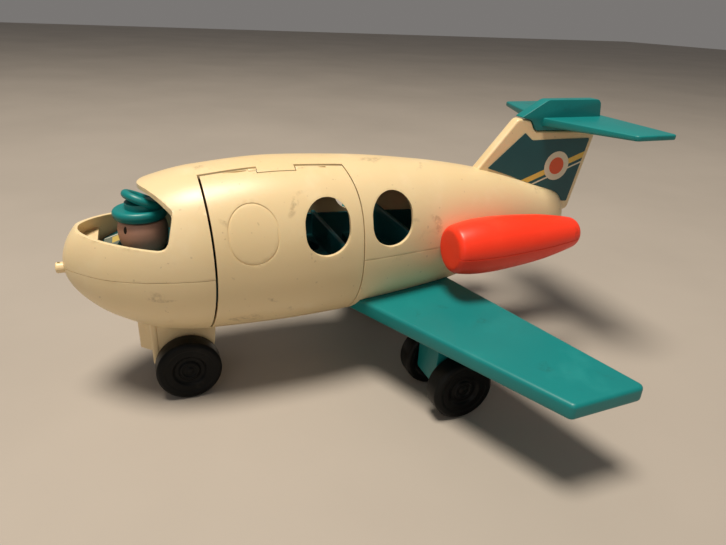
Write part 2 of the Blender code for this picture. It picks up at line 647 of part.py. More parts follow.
def make_cockpit_card():
    """A printed instrument card that lies on the raked panel."""
    rake = ((-158.8, 93.3), (-149.4, 96.4), (-149.5, 96.7), (-158.9, 93.6))
    card = prism("cockpit_card", rake, -21, 21, "X", PARTS)
    arc = rod("card arc", (0, PILOT_Y, 95), PILOT_WELL_RADIUS + 0.4, 20, "Z", 28)
    combine(card, "DIFFERENCE", arc)
    return finish(card, plastic("printed_card", GREY, 0.5))


def make_pilot():
    """Head, cap and body, all turning together. A flange keeps the body under the cockpit floor."""
    head_profile = (
        (91.8, 0), (91.8, 7.5), (93.5, 10.4), (97.0, 12.6), (102.0, 13.8), (107.0, 13.9),
        (110.4, 13.2), (111.7, 12.4), (111.7, 0),
    )
    head = turned("pilot_head", head_profile, (0, PILOT_Y, 0), "Z", 24)
    body_profile = (
        (PILOT_SHAFT_BOTTOM_Z, 0), (PILOT_SHAFT_BOTTOM_Z, PILOT_SHAFT_RADIUS),
        (PILOT_BODY_Z, PILOT_SHAFT_RADIUS), (PILOT_BODY_Z, 10.5), (74.0, 11.5), (84.0, 11.5),
        (85.0, 14.0), (88.5, 14.0), (88.5, 11.8), (90.5, 10.4), (91.5, 8.0), (91.5, 0),
    )
    body = turned("pilot_body", body_profile, (0, PILOT_Y, 0), "Z", 20)
    cap = make_cap()
    for item, material in (
        (head, plastic("face", PINK, 0.45)),
        (body, plastic("deep_teal", DEEP_TEAL, 0.4)),
        (cap, plastic("turquoise", TURQUOISE)),
    ):
        finish(item, material)
        set_axis(item, 0, PILOT_Y, 0)
        item.rotation_euler.z = PILOT_REST_TURN


def make_cap():
    """A peaked cap: a round brim that runs forward, and a crown disc that rises to the front."""
    brim_profile = (
        (112.0, 0), (112.0, 12.0), (113.2, 13.7), (115.6, 14.7), (117.6, 14.4), (118.7, 13.4),
        (119.2, 12.0), (119.2, 0),
    )
    cap = turned("pilot_cap", brim_profile, (0, PILOT_Y, 0), "Z", 24)
    cap.data.transform(Matrix.Translation((0, -PILOT_Y * MM, 0)))
    for vert in cap.data.vertices:
        if vert.co.y < 0:
            vert.co.y *= 1.08
    cap.data.transform(Matrix.Translation((0, PILOT_Y * MM, 0)))
    crown_profile = (
        (-2.4, 0), (-2.4, 9.6), (-1.4, 11.4), (0.2, 12.0), (1.7, 11.2), (2.4, 9.4), (2.4, 0),
    )
    crown = turned("cap crown", crown_profile, (0, 0, 0), "Z", 20, CUTTERS)
    crown.data.transform(Matrix.Rotation(math.radians(-27), 4, "X"))
    crown.data.transform(Matrix.Translation(Vector((0, PILOT_Y + 1.6, 122.4)) * MM))
    neck = rod("cap neck", (0, PILOT_Y + 1, 119.6), 9.5, 4.4, "Z", 20)
    return combine(cap, "UNION", neck, crown)


# ---------------------------------------------------------------- wing and tail

def tapered(name, outline, top_z, root, tip, half_span, collection=PARTS):
    """A plank with a flat top whose underside rises towards its tips."""
    plank = prism(name, outline, top_z - root, top_z, "Z", collection)
    for vert in plank.data.vertices:
        if vert.co.z < (top_z - 0.1) * MM:
            vert.co.z += (root - tip) * MM * abs(vert.co.x) / (half_span * MM)
    return plank


def make_wing():
    """The one-piece wing, the belly fairing under the hull and the two gear legs."""
    wing = tapered(
        "wing", wing_plan(), WING_TOP_Z, WING_ROOT_THICKNESS, WING_TIP_THICKNESS, WING_HALF_SPAN
    )
    round_edges(pitched(wing), 2.4, 2, 35)
    fairing = pitched(prism("belly fairing", wing_plan(-0.6), 30, WING_TOP_Z - 2.5))
    bake(combine(fairing, "INTERSECT", hull("fairing hull", 0.0)))
    combine(wing, "UNION", fairing)
    outline = (
        (LEG_FRONT_Y, 56), (LEG_FRONT_Y, LEG_BOTTOM_Z + 5), (LEG_FRONT_Y + 5, LEG_BOTTOM_Z),
        (LEG_REAR_Y - 5, LEG_BOTTOM_Z), (LEG_REAR_Y, LEG_BOTTOM_Z + 5), (LEG_REAR_Y, 56),
    )
    for side in (1, -1):
        low, high = sorted(side * x for x in LEG_X)
        combine(wing, "UNION", prism(f"gear leg {side}", outline, low, high, "X"))
        centre = (side * sum(LEG_X) / 2, MAIN_AXLE_Y, WHEEL_RADIUS)
        combine(wing, "DIFFERENCE", rod(f"leg bore {side}", centre, AXLE_RADIUS + GAP, 40, "X", 24))
    for name, x, y, head_z, _ in WING_SCREWS:
        bore = rod(f"{name} wing bore", (x, y, 60), SCREW_RADIUS + GAP, 60, "Z", 16)
        top = head_z + SCREW_HEAD_HEIGHT + GAP
        pocket = rod(f"{name} wing pocket", (x, y, top - 15), SCREW_HEAD_RADIUS + 0.4, 30)
        combine(wing, "DIFFERENCE", bore, pocket)
    return finish(wing, plastic("turquoise", TURQUOISE))


def make_stabilizer():
    """The tailplane with its upright keel and the tongue that plugs into the fin."""
    half = ((0, 128.6), (STABILIZER_HALF_SPAN - 2, 148.8), (STABILIZER_HALF_SPAN, 151),
            (STABILIZER_HALF_SPAN, 179), (STABILIZER_HALF_SPAN - 2, 181), (0, 184.6))
    outline = [*half, *((-x, y) for x, y in reversed(half[1:-1]))]
    plank = tapered(
        "stabilizer", outline, STABILIZER_TOP_Z, STABILIZER_ROOT_THICKNESS,
        STABILIZER_TIP_THICKNESS, STABILIZER_HALF_SPAN,
    )
    round_edges(plank, 1.0, 2, 35)
    keel = prism("keel", STABILIZER_KEEL, -4.3, 4.3, "X")
    bake(round_edges(keel, 1.0, 2, 35))
    tongue = box("tongue", (-1.6, 1.6), TONGUE_Y, (TONGUE_BOTTOM_Z, 158))
    combine(plank, "UNION", keel, tongue)
    return finish(plank, plastic("turquoise", TURQUOISE))


def make_engine(side):
    name = "engine_port" if side > 0 else "engine_starboard"
    engine = turned(name, ENGINE_PROFILE, (side * ENGINE_X, 0, ENGINE_Z), "Y", 24)
    for vert in engine.data.vertices:
        vert.co.z += ENGINE_PITCH * (vert.co.y - ENGINE_PITCH_Y * MM)
    combine(engine, "DIFFERENCE", hull(f"{name} hull", -GAP))
    combine(engine, "UNION", *engine_pegs(side, ENGINE_PEG_RADIUS))
    return finish(engine, plastic("engine_orange", ORANGE))


def make_fin_decal(side):
    """A thin printed label that covers most of the fin's side."""
    outline = (
        (116.8, 153.4), (123.4, 148.2), (173.2, 148.2), (162.9, 101.6), (158.6, 101.8), (150, 106.4),
        (140, 111.4), (125, 117.7), (110, 123.4), (90.0, 130.1),
    )
    low, high = sorted((side * (FIN_HALF + 0.15), side * (FIN_HALF + 0.5)))
    name = "fin_decal_port" if side > 0 else "fin_decal_starboard"
    decal = prism(name, outline, low, high, "X", PARTS)
    combine(decal, "DIFFERENCE", hull(f"{name} hull", -GAP))
    return finish(decal, plastic("printed_label", DEEP_TEAL, 0.3))


# ---------------------------------------------------------------- running gear

def make_wheel(name, inner_x, y, side):
    """A moulded wheel with a blind bore on its inner face and a domed hub on its outer face."""
    r, w = WHEEL_RADIUS, WHEEL_WIDTH
    bore = AXLE_RADIUS + 0.2
    profile = (
        (0, bore), (0, 15.5), (0.8, r - 1.6), (3.0, r), (w - 3.0, r), (w - 0.8, r - 1.6), (w, 15.5),
        (w - 1.6, 13.2), (w - 1.6, 7.2), (w - 0.4, 6.2), (w, 0),
    )
    bm = bmesh.new()
    blind = [(w - 3, 0), (w - 3, bore)]
    points = [bm.verts.new((along, 0, radius)) for along, radius in (*blind, *profile)]
    for first, second in zip(points, points[1:]):
        bm.edges.new((first, second))
    bmesh.ops.spin(
        bm, geom=bm.verts[:] + bm.edges[:], cent=(0, 0, 0), axis=(1, 0, 0),
        angle=2 * math.pi, steps=20, use_merge=True,
    )
    bmesh.ops.remove_doubles(bm, verts=bm.verts, dist=0.001)
    if side < 0:
        bmesh.ops.scale(bm, vec=(-1, 1, 1), verts=bm.verts)
    wheel = object_from(bm, name, PARTS)
    wheel.location = (side * inner_x * MM, y * MM, WHEEL_RADIUS * MM)
    return finish(wheel, plastic("black_wheel", BLACK, 0.35))


def make_axle(name, low_x, high_x, y):
    centre = ((low_x + high_x) / 2, y, WHEEL_RADIUS)
    axle = rod(name, centre, AXLE_RADIUS, high_x - low_x, "X", 24, PARTS)
    set_axis(axle, *centre)
    return finish(axle, plastic("steel", STEEL, 0.3, 1.0))


def make_running_gear():
    overlap = 9.0
    for side, word in ((1, "port"), (-1, "starboard")):
        make_wheel(f"nose_wheel_{word}", NOSE_WHEEL_INNER_X, NOSE_AXLE_Y, side)
        make_wheel(f"main_wheel_{word}_outer", MAIN_WHEEL_OUTER_X, MAIN_AXLE_Y, side)
        inner_face = side * (MAIN_WHEEL_INNER_X + WHEEL_WIDTH)
        make_wheel(f"main_wheel_{word}_inner", inner_face * side, MAIN_AXLE_Y, side)
        inner = bpy.data.objects[f"main_wheel_{word}_inner"]
        inner.rotation_euler.z = math.pi
        ends = sorted(
            side * x
            for x in (MAIN_WHEEL_INNER_X + WHEEL_WIDTH - overlap, MAIN_WHEEL_OUTER_X + overlap)
        )
        make_axle(f"main_axle_{word}", *ends, MAIN_AXLE_Y)
    reach = NOSE_WHEEL_INNER_X + overlap
    make_axle("nose_axle", -reach, reach, NOSE_AXLE_Y)


def make_screw(name, x, y, head_z, tip_z):
    """A pan head screw, driven upwards, with a cross recess left to its finish."""
    r, head = SCREW_RADIUS, SCREW_HEAD_RADIUS
    profile = (
        (head_z, 0), (head_z, head - 0.8), (head_z + 0.7, head), (head_z + SCREW_HEAD_HEIGHT, head),
        (head_z + SCREW_HEAD_HEIGHT, r), (tip_z - 2, r), (tip_z, 0.4), (tip_z, 0),
    )
    screw = turned(name, profile, (x, y, 0), "Z", 16)
    return finish(screw, plastic("steel", STEEL, 0.3, 1.0))


# ---------------------------------------------------------------- assembly

make_upper_shell()
make_lower_shell()
make_door()
make_hinge_pin()
make_tow_peg()
make_seat_deck()
make_cockpit_insert()
make_cockpit_card()
make_pilot()
make_wing()
make_stabilizer()
for SIDE in (1, -1):
    make_engine(SIDE)
    make_fin_decal(SIDE)
make_running_gear()
for SCREW in (*SHELL_SCREWS, *WING_SCREWS):
    make_screw(*SCREW)
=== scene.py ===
"""Looks for the toy jet airplane: smooth moulded shells, fine edges, worn plastics and soft light.

Shapes are drawn in the row frame in millimetres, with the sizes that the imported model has, and
every mesh is made in metres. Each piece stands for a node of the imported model.
"""

import json
import math

import bmesh
import bpy
import numpy as np
from mathutils import Matrix, Vector


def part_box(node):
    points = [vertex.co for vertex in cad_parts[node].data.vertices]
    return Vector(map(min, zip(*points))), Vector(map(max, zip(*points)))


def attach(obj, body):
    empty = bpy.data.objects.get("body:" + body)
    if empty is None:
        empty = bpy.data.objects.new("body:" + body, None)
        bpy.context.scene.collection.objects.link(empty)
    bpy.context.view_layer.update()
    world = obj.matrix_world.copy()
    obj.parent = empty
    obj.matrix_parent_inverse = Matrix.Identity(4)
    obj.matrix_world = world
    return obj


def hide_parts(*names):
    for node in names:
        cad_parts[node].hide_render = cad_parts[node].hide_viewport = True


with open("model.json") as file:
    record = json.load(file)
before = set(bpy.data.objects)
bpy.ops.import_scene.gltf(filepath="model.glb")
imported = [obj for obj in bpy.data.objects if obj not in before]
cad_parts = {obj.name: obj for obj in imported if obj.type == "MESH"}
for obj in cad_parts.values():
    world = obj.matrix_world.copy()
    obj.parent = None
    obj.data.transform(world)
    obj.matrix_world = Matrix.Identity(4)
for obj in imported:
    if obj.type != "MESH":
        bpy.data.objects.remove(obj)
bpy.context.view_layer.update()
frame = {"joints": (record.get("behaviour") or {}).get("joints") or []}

MM = 0.001
GAP = 0.3


def node_box(name):
    """(lowest, highest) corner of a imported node, in millimetres."""
    return tuple(np.array(corner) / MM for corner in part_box(name))


def joint_point(name):
    joint = next(j for j in frame["joints"] if j["name"] == name)
    return tuple(value / MM for value in joint["pos_m"])


# Fuselage: superellipse sections about the moulding seam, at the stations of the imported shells.
SEAM_Z = 88.0
SECTION_POWER = 2.2
WALL = 2.4
HULL_STATIONS = (
    # y, half width, rise above the seam, drop below the seam
    (-172.0, 15.6, 21.6, 19.5),
    (-155.0, 30.3, 34.9, 32.5),
    (-130.0, 40.6, 47.3, 43.0),
    (-105.0, 44.5, 52.6, 46.4),
    (-60.0, 45.0, 56.1, 47.4),
    (-15.0, 41.5, 54.7, 46.6),
    (40.0, 34.7, 49.3, 40.2),
    (85.0, 26.8, 41.5, 29.1),
    (130.0, 16.6, 28.8, 14.5),
    (161.0, 9.0, 17.0, 5.0),
    (164.5, 5.0, 9.0, 2.0),
)
NOSE_Y, NOSE_END_Y = -180.5, -155.0
TAIL_Y, TAIL_ROUND_Y = 162.5, 150.0

# Door and hinge.
HINGE_X, HINGE_Y, HINGE_Z = joint_point("door_hinge")
DOOR_FRONT_Y, DOOR_REAR_Y = -100.7, -14.0
DOOR_WAIST_Z, DOOR_ABOVE_WAIST, DOOR_BELOW_WAIST = 92.0, 48.5, 36.0
DOOR_FRONT_BOW, DOOR_REAR_BOW, DOOR_LOWER_BOW = 3.2, 6.5, 2.6
DOOR_FRONT_GAP, DOOR_REAR_GAP, DOOR_BOTTOM_GAP = 1.3, 0.7, 0.8
DOOR_BOTTOM_Z = node_box("cabin_door")[0][2]
HINGE_LUG_LENGTH, HINGE_EAR_LENGTH = 22.0, 4.5
HINGE_HOLE_RADIUS, LUG_BARREL_RADIUS, EAR_BARREL_RADIUS = 0.75, 1.2, 1.6
DOOR_EDGE_X, SHELL_EDGE_X = HINGE_X - 0.9, HINGE_X - 2.7
TAB_EDGE_X, NOTCH_EDGE_X = HINGE_X + 2.6, HINGE_X + 3.3

# Windows.
WINDOW_WIDTH, WINDOW_HEIGHT, WINDOW_Z = 28.0, 33.0, 110.8
BLIND_WINDOW_Y, DOOR_WINDOW_Y, REAR_WINDOW_Y = -79.6, -36.3, 6.4

# Wing.
WING_TOP_Z = 59.6
WING_HALF_SPAN = node_box("wing")[1][0]
WING_ROOT_THICKNESS, WING_TIP_THICKNESS = 10.5, 9.5
WING_LEADING_ROOT_Y, WING_LEADING_TIP_Y = -25.0, 45.8
WING_TRAILING_ROOT_Y, WING_TRAILING_TIP_Y = 52.9, 91.2
WING_PITCH, WING_PITCH_Y = 0.042, 59.0
CHANNEL_WALL = 2.4

# Wheels.
WHEEL_RADIUS, WHEEL_WIDTH = 19.6, 13.0
AXLE_RADIUS = 1.6
MAIN_AXLE_Y = joint_point("port_wheels_roll")[1]
NOSE_AXLE_Y = joint_point("nose_wheels_roll")[1]
LEG_X, LEG_FRONT_Y, LEG_REAR_Y, LEG_BOTTOM_Z = (57.9, 82.1), 20.0, 46.0, 12.0

# Nose gear bracket, pilot, engines.
BRACKET_PLATE_X = (9.6, 12.3)
BRACKET_OUTLINE = (
    (-139, 62), (-139, 19.5), (-136, 17.5), (-130.5, 16.5), (-125, 11.5), (-112, 11.5), (-102, 28),
    (-99, 62),
)
BRACKET_RIB_X, BRACKET_RIB_Y, BRACKET_RIB_BOTTOM_Z = (7.6, 12.9), (-139.5, -135.2), 20.0
BRACKET_BOW = (
    (-9.0, -137.0), (-9.0, -139.2), (-2.6, -146.0), (2.6, -146.0), (9.0, -139.2), (9.0, -137.0),
    (1.6, -142.0), (-1.6, -142.0),
)
BRACKET_BOW_BOTTOM_Z = 28.0
PILOT_Y = joint_point("pilot_swivel")[1]
PILOT_REST_TURN = math.radians(20)
ENGINE_X, ENGINE_Z = 48.0, 94.5
ENGINE_PEGS, ENGINE_PEG_RADIUS = ((62.0, 26.0), (92.0, 19.5)), 4.0
ENGINE_PITCH, ENGINE_PITCH_Y = 0.036, 112.0

# Fin and stabilizer.
FIN_HALF = 4.0
FIN_OUTLINE = (
    (60, 103.7), (110.3, 163.4), (120.6, 161.4), (124.8, 154.2), (176, 153.2), (178, 151.2),
    (165.6, 95.4), (150, 92),
)
STABILIZER_TOP_Z, STABILIZER_HALF_SPAN = 163.4, 71.0
STABILIZER_ROOT_THICKNESS, STABILIZER_TIP_THICKNESS = 6.2, 3.4
STABILIZER_KEEL = (
    (112.0, 163.8), (132.0, 175.3), (175.0, 175.3), (177.5, 173.0), (180.0, 157.5),
    (175.0, 154.8), (125.0, 154.8), (120.9, 161.7),
)
TONGUE_HALF, TONGUE_Y, TONGUE_Z = 1.6, (136.0, 170.0), (147.0, 158.0)

# Screws: name, x, y, head z.
SCREW_RADIUS, SCREW_HEAD_RADIUS, SCREW_HEAD_HEIGHT, BOSS_RADIUS = 1.4, 3.0, 2.0, 4.3
SHELL_SCREWS = (
    ("nose", 0.0, -165.0, 72.0), ("port", 16.5, 75.0, 66.0), ("starboard", -16.5, 75.0, 66.0),
    ("tail", 0.0, 128.0, 78.5),
)
WING_SCREWS = (("front", 0.0, -8.0, 51.0), ("rear", 0.0, 36.0, 52.0))

# Cabin floor with its seat rows: back's place and top.
DECK_TOP_Z, DECK_THICKNESS = 65.0, 2.4
SEAT_ROWS = ((-61.0, 94.0), (-21.0, 95.0), (25.0, 98.0))
SEAT_DEPTH, SEAT_BASE_Z, SEAT_BACK_THICKNESS = 24.0, 78.0, 3.0
SEAT_WELL_RADIUS, SEAT_WELL_X, SEAT_WELL_DEPTH = 10.3, 14.5, 10.0
CABIN_WALL_TOP_Z, CABIN_WALL_THICKNESS = 93.0, 2.0
TOW_PEG_Z, TOW_PEG_HOLE_RADIUS = 86.3, 3.5
NOSE_LEDGE_REAR_Y, NOSE_POST_TOP_Z = -161.0, 99.0
PILOT_WELL_RADIUS = 14.8


# ---------------------------------------------------------------- mesh helpers

def object_from(bm, name):
    """An object in metres from a bmesh in millimetres."""
    bmesh.ops.recalc_face_normals(bm, faces=bm.faces)
    bmesh.ops.scale(bm, vec=(MM, MM, MM), verts=bm.verts)
    mesh = bpy.data.meshes.new(name)
    bm.to_mesh(mesh)
    bm.free()
    item = bpy.data.objects.new(name, mesh)
    bpy.context.scene.collection.objects.link(item)
    return item


def box(x, y, z):
    bm = bmesh.new()
    bmesh.ops.create_cube(bm, size=1)
    bmesh.ops.scale(bm, vec=[high - low for low, high in (x, y, z)], verts=bm.verts)
    bmesh.ops.translate(bm, vec=[(high + low) / 2 for low, high in (x, y, z)], verts=bm.verts)
    return object_from(bm, "box")


def rod(centre, radius, length, axis="Z", sides=48):
    bm = bmesh.new()
    bmesh.ops.create_cone(
        bm, cap_ends=True, segments=sides, radius1=radius, radius2=radius, depth=length
    )
    turn = {"X": Matrix.Rotation(math.pi / 2, 3, "Y"), "Y": Matrix.Rotation(math.pi / 2, 3, "X")}
    if axis in turn:
        bmesh.ops.rotate(bm, cent=(0, 0, 0), matrix=turn[axis], verts=bm.verts)
    bmesh.ops.translate(bm, vec=centre, verts=bm.verts)
    return object_from(bm, "rod")


def prism(outline, low, high, across="Z"):
    """Extrude a flat outline: (x, y) points across Z, or (y, z) points across X."""
    bm = bmesh.new()
    if across == "Z":
        corners = [bm.verts.new((a, b, low)) for a, b in outline]
        move = (0, 0, high - low)
    else:
        corners = [bm.verts.new((low, a, b)) for a, b in outline]
        move = (high - low, 0, 0)
    grown = bmesh.ops.extrude_face_region(bm, geom=[bm.faces.new(corners)])
    moved = [part for part in grown["geom"] if isinstance(part, bmesh.types.BMVert)]
    bmesh.ops.translate(bm, vec=move, verts=moved)
    return object_from(bm, "prism")


def turned(profile, centre, axis, steps=96):
    """A turned shape from (place along the axis, radius) points."""
    bm = bmesh.new()
    points = [bm.verts.new((radius, 0, along)) for along, radius in profile]
    for first, second in zip(points, points[1:]):
        bm.edges.new((first, second))
    bmesh.ops.spin(
        bm, geom=bm.verts[:] + bm.edges[:], cent=(0, 0, 0), axis=(0, 0, 1),
        angle=2 * math.pi, steps=steps, use_merge=True,
    )
    bmesh.ops.remove_doubles(bm, verts=bm.verts, dist=0.0005)
    if axis == "X":
        bmesh.ops.rotate(bm, matrix=Matrix.Rotation(math.pi / 2, 3, "Y"), verts=bm.verts)
    if axis == "Y":
        bmesh.ops.rotate(bm, matrix=Matrix.Rotation(-math.pi / 2, 3, "X"), verts=bm.verts)
    bmesh.ops.translate(bm, vec=centre, verts=bm.verts)
    return object_from(bm, "turned")


def rounded_profile(points, radius=0.8, steps=4):
    """Round the corners of an open (along, radius) profile with small arcs."""
    points = [np.array(p, float) for p in points]
    out = [points[0]]
    for before, here, after in zip(points, points[1:], points[2:]):
        a, b = before - here, after - here
        reach = min(radius, 0.45 * np.linalg.norm(a), 0.45 * np.linalg.norm(b))
        start = here + a / np.linalg.norm(a) * reach
        end = here + b / np.linalg.norm(b) * reach
        for k in range(steps + 1):
            t = k / steps
            out.append((1 - t) ** 2 * start + 2 * t * (1 - t) * here + t * t * end)
    out.append(points[-1])
    return [tuple(p) for p in out]


def evaluated_mesh(item):
    bpy.context.view_layer.update()
    graph = bpy.context.evaluated_depsgraph_get()
    return bpy.data.meshes.new_from_object(item.evaluated_get(graph))


def bake(item):
    mesh = evaluated_mesh(item)
    item.modifiers.clear()
    item.data = mesh
    return item


def combine(item, operation, *others):
    """Boolean item with each other solid in turn, and remove the others."""
    for other in others:
        modifier = item.modifiers.new("boolean", "BOOLEAN")
        modifier.operation = operation
        modifier.solver = "MANIFOLD"
        modifier.object = other
        bake(item)
        bpy.data.objects.remove(other, do_unlink=True)
    return item


def cut(item, *others):
    return combine(item, "DIFFERENCE", *others)


def join(item, *others):
    return combine(item, "UNION", *others)


def clip(item, *others):
    return combine(item, "INTERSECT", *others)


def soften(item, width, angle=45, segments=3, near=0.8):
    """Round the sharp edges. Points crowded beside a cut's rim are first drawn onto it."""
    bm = bmesh.new()
    bm.from_mesh(item.data)
    bmesh.ops.scale(bm, vec=(1 / MM, 1 / MM, 1 / MM), verts=bm.verts)
    bmesh.ops.remove_doubles(bm, verts=bm.verts, dist=0.12)
    bmesh.ops.dissolve_degenerate(bm, edges=bm.edges, dist=0.01)
    limit = math.radians(angle)

    def sharp_edges():
        return [e for e in bm.edges if len(e.link_faces) == 2 and e.calc_face_angle(0) > limit]

    rim = {vert for edge in sharp_edges() for vert in edge.verts}
    targets = {}
    for vert in bm.verts:
        if vert in rim:
            continue
        close = [
            (edge.calc_length(), edge.other_vert(vert)) for edge in vert.link_edges
            if edge.other_vert(vert) in rim
        ]
        if close:
            length, target = min(close, key=lambda pair: pair[0])
            if length < near:
                targets[vert] = target
    bmesh.ops.weld_verts(bm, targetmap=targets)
    bmesh.ops.dissolve_degenerate(bm, edges=bm.edges, dist=0.01)
    bmesh.ops.bevel(
        bm, geom=sharp_edges(), offset=width, offset_type="OFFSET", segments=segments,
        profile=0.5, affect="EDGES", clamp_overlap=True,
    )
    bmesh.ops.scale(bm, vec=(MM, MM, MM), verts=bm.verts)
    bm.to_mesh(item.data)
    bm.free()
    return item


def shade(item, angle=32):
    item.data.shade_smooth()
    item.data.set_sharp_from_angle(angle=math.radians(angle))
    return item


def stands_for(item, name, node, body, material):
    """Name a finished piece, give it its finish and put it on the body of the node it replaces."""
    item.name = name
    item.data.materials.clear()
    item.data.materials.append(material)
    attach(item, body)
    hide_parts(node)


# ---------------------------------------------------------------- hull

def smooth_through(places, values, last_slope=None):
    """A monotone cubic through the stations, as a batten would lie."""
    steps = np.diff(places)
    rates = np.diff(values) / steps
    end = rates[-1] if last_slope is None else last_slope
    slopes = np.concatenate(([rates[0]], np.zeros(len(rates) - 1), [end]))
    for i in range(1, len(rates)):
        before, after = rates[i - 1], rates[i]
        if before * after > 0:
            slopes[i] = 2 * before * after / (before + after)

    def value(y):
        i = int(np.clip(np.searchsorted(places, y) - 1, 0, len(rates) - 1))
        t = float(np.clip((y - places[i]) / steps[i], 0, 1))
        return (
            values[i] * (1 + 2 * t) * (1 - t) ** 2
            + slopes[i] * steps[i] * t * (1 - t) ** 2
            + values[i + 1] * t * t * (3 - 2 * t)
            + slopes[i + 1] * steps[i] * t * t * (t - 1)
        )

    return value


def hull_curve(column):
    """One size of the section along the hull. The nose grows as a root, so that its tip is round."""
    table = np.array(HULL_STATIONS)
    body = smooth_through(table[:, 0], table[:, column])
    ahead = table[:, 0] <= NOSE_END_Y
    roots = np.concatenate(([0.0], np.sqrt(table[ahead, 0] - NOSE_Y)))
    sizes = np.concatenate(([0.0], table[ahead, column]))
    slope = (body(NOSE_END_Y + 0.1) - body(NOSE_END_Y)) / 0.1 * 2 * roots[-1]
    nose = smooth_through(roots, sizes, slope)
    return lambda y: body(y) if y > NOSE_END_Y else nose(math.sqrt(max(y - NOSE_Y, 0.0)))


HALF_WIDTH, RISE, DROP = (hull_curve(column) for column in (1, 2, 3))


def hull_sizes(y, inset):
    """Half width, rise and drop at y, with the tail rounded off."""
    t = max((y - TAIL_ROUND_Y) / (TAIL_Y - TAIL_ROUND_Y), 0.0)
    scale = math.sqrt(max(1 - t ** 2.4, 0.0))
    return [max(f(y) * scale - inset, 0.3) for f in (HALF_WIDTH, RISE, DROP)]


def hull(inset=0.0, ring_points=168, pitch=1.9):
    """The fuselage as one closed smooth solid, drawn in by inset all over."""
    first, last = NOSE_Y + max(inset, 0), TAIL_Y - max(inset, 0)
    nose_roots = np.linspace(math.sqrt(first - NOSE_Y) + 0.25, math.sqrt(NOSE_END_Y - NOSE_Y), 18)
    places = [NOSE_Y + root * root for root in nose_roots[:-1]]
    places += list(np.arange(NOSE_END_Y, TAIL_ROUND_Y, pitch))
    places += [
        TAIL_ROUND_Y + (last - TAIL_ROUND_Y) * math.sin(k * math.pi / 22) for k in range(11)
    ]
    bm = bmesh.new()
    rings = []
    for y in places:
        width, rise, drop = hull_sizes(y, inset)
        ring = []
        for k in range(ring_points):
            c, s = (f(2 * math.pi * (k + 0.5) / ring_points) for f in (math.cos, math.sin))
            x = width * math.copysign(abs(c) ** (2 / SECTION_POWER), c)
            z = (rise if s > 0 else drop) * math.copysign(abs(s) ** (2 / SECTION_POWER), s)
            ring.append(bm.verts.new((x, y, SEAM_Z + z)))
        rings.append(ring)
    for before, after in zip(rings, rings[1:]):
        for k in range(ring_points):
            n = (k + 1) % ring_points
            bm.faces.new((before[k], before[n], after[n], after[k]))
    for ring, y in ((rings[0], first), (rings[-1], last)):
        middle = sum((vert.co for vert in ring), Vector()) / ring_points
        pole = bm.verts.new((middle.x, y, middle.z))
        for k in range(ring_points):
            bm.faces.new((ring[k], ring[(k + 1) % ring_points], pole))
    return object_from(bm, "hull")


def plain_hull(inset):
    """The hull in fewer, longer faces, for shaping what lies inside or against it."""
    return hull(inset, 96, 4.0)


def in_hull(item, inset=1.0):
    """Keep what lies inside the hull."""
    return clip(item, plain_hull(inset))


def stadium(width, height, y, z, steps=24):
    radius, straight = width / 2, (height - width) / 2
    turns = [math.pi * k / steps for k in range(steps + 1)]
    top = [(y + radius * math.cos(t), z + straight + radius * math.sin(t)) for t in turns]
    bottom = [(y - radius * math.cos(t), z - straight - radius * math.sin(t)) for t in turns]
    return top + bottom


def window_cutter(y, side):
    low, high = sorted((side * 12, side * 60))
    return prism(stadium(WINDOW_WIDTH, WINDOW_HEIGHT, y, WINDOW_Z), low, high, "X")


def rounded_outline(points, radius, steps=6):
    """Round the corners of a closed outline. Each radius is one number or one for each corner."""
    count = len(points)
    radii = [radius] * count if isinstance(radius, (int, float)) else radius
    out = []
    for i, (here, size) in enumerate(zip(points, radii)):
        here = np.array(here, float)
        a = np.array(points[i - 1], float) - here
        b = np.array(points[(i + 1) % count], float) - here
        reach = min(size, 0.45 * np.linalg.norm(a), 0.45 * np.linalg.norm(b))
        start = here + a / np.linalg.norm(a) * reach
        end = here + b / np.linalg.norm(b) * reach
        if reach < 0.01:
            out.append(tuple(here))
            continue
        for k in range(steps + 1):
            t = k / steps
            out.append(tuple((1 - t) ** 2 * start + 2 * t * (1 - t) * here + t * t * end))
    return out


def cockpit_cutter():
    """The windscreen opening: level sills, an upright rear edge and a pointed brow."""
    side = (
        (-185, 160), (-171.6, 109.6), (-168, 109.1), (-129, 105.0), (-126, 106.0), (-124.3, 108.6),
        (-119.8, 126), (-118, 160),
    )
    half_brow = ((60, -118.4), (35, -118.8), (31, -120.2), (25, -125.0), (17, -130.4), (8, -135.0))
    brow = [*half_brow, (0, -137.0), *((-x, y) for x, y in reversed(half_brow))]
    plan = [(-60, -200), (60, -200), *brow]
    opening = prism(rounded_outline(side, 4.0), -60, 60, "X")
    return clip(opening, prism(rounded_outline(plan, 4.0), 90, 170))


def door_bow(z, above, power):
    """How far forward a door edge lies at height z, from its place at the door's waist."""
    if z < DOOR_WAIST_Z:
        return DOOR_LOWER_BOW * ((DOOR_WAIST_Z - z) / DOOR_BELOW_WAIST) ** 2
    return above * min((z - DOOR_WAIST_Z) / DOOR_ABOVE_WAIST, 1.05) ** power


def door_region(margin_x, front, rear, bottom):
    """The stretch of the hull's port side that the door fills, between its two bowed edges."""
    levels = [*np.linspace(bottom, 144, 48), 190]
    front_edge = [(front - door_bow(z, DOOR_FRONT_BOW, 2), z) for z in levels]
    rear_edge = [(rear - door_bow(z, DOOR_REAR_BOW, 4), z) for z in reversed(levels)]
    return prism(front_edge + rear_edge, margin_x, 80, "X")


def doorway(inner_x):
    """The opening in the shells, a gap larger than the door."""
    front, rear = DOOR_FRONT_Y - DOOR_FRONT_GAP, DOOR_REAR_Y + DOOR_REAR_GAP
    return door_region(inner_x, front, rear, DOOR_BOTTOM_Z - DOOR_BOTTOM_GAP)


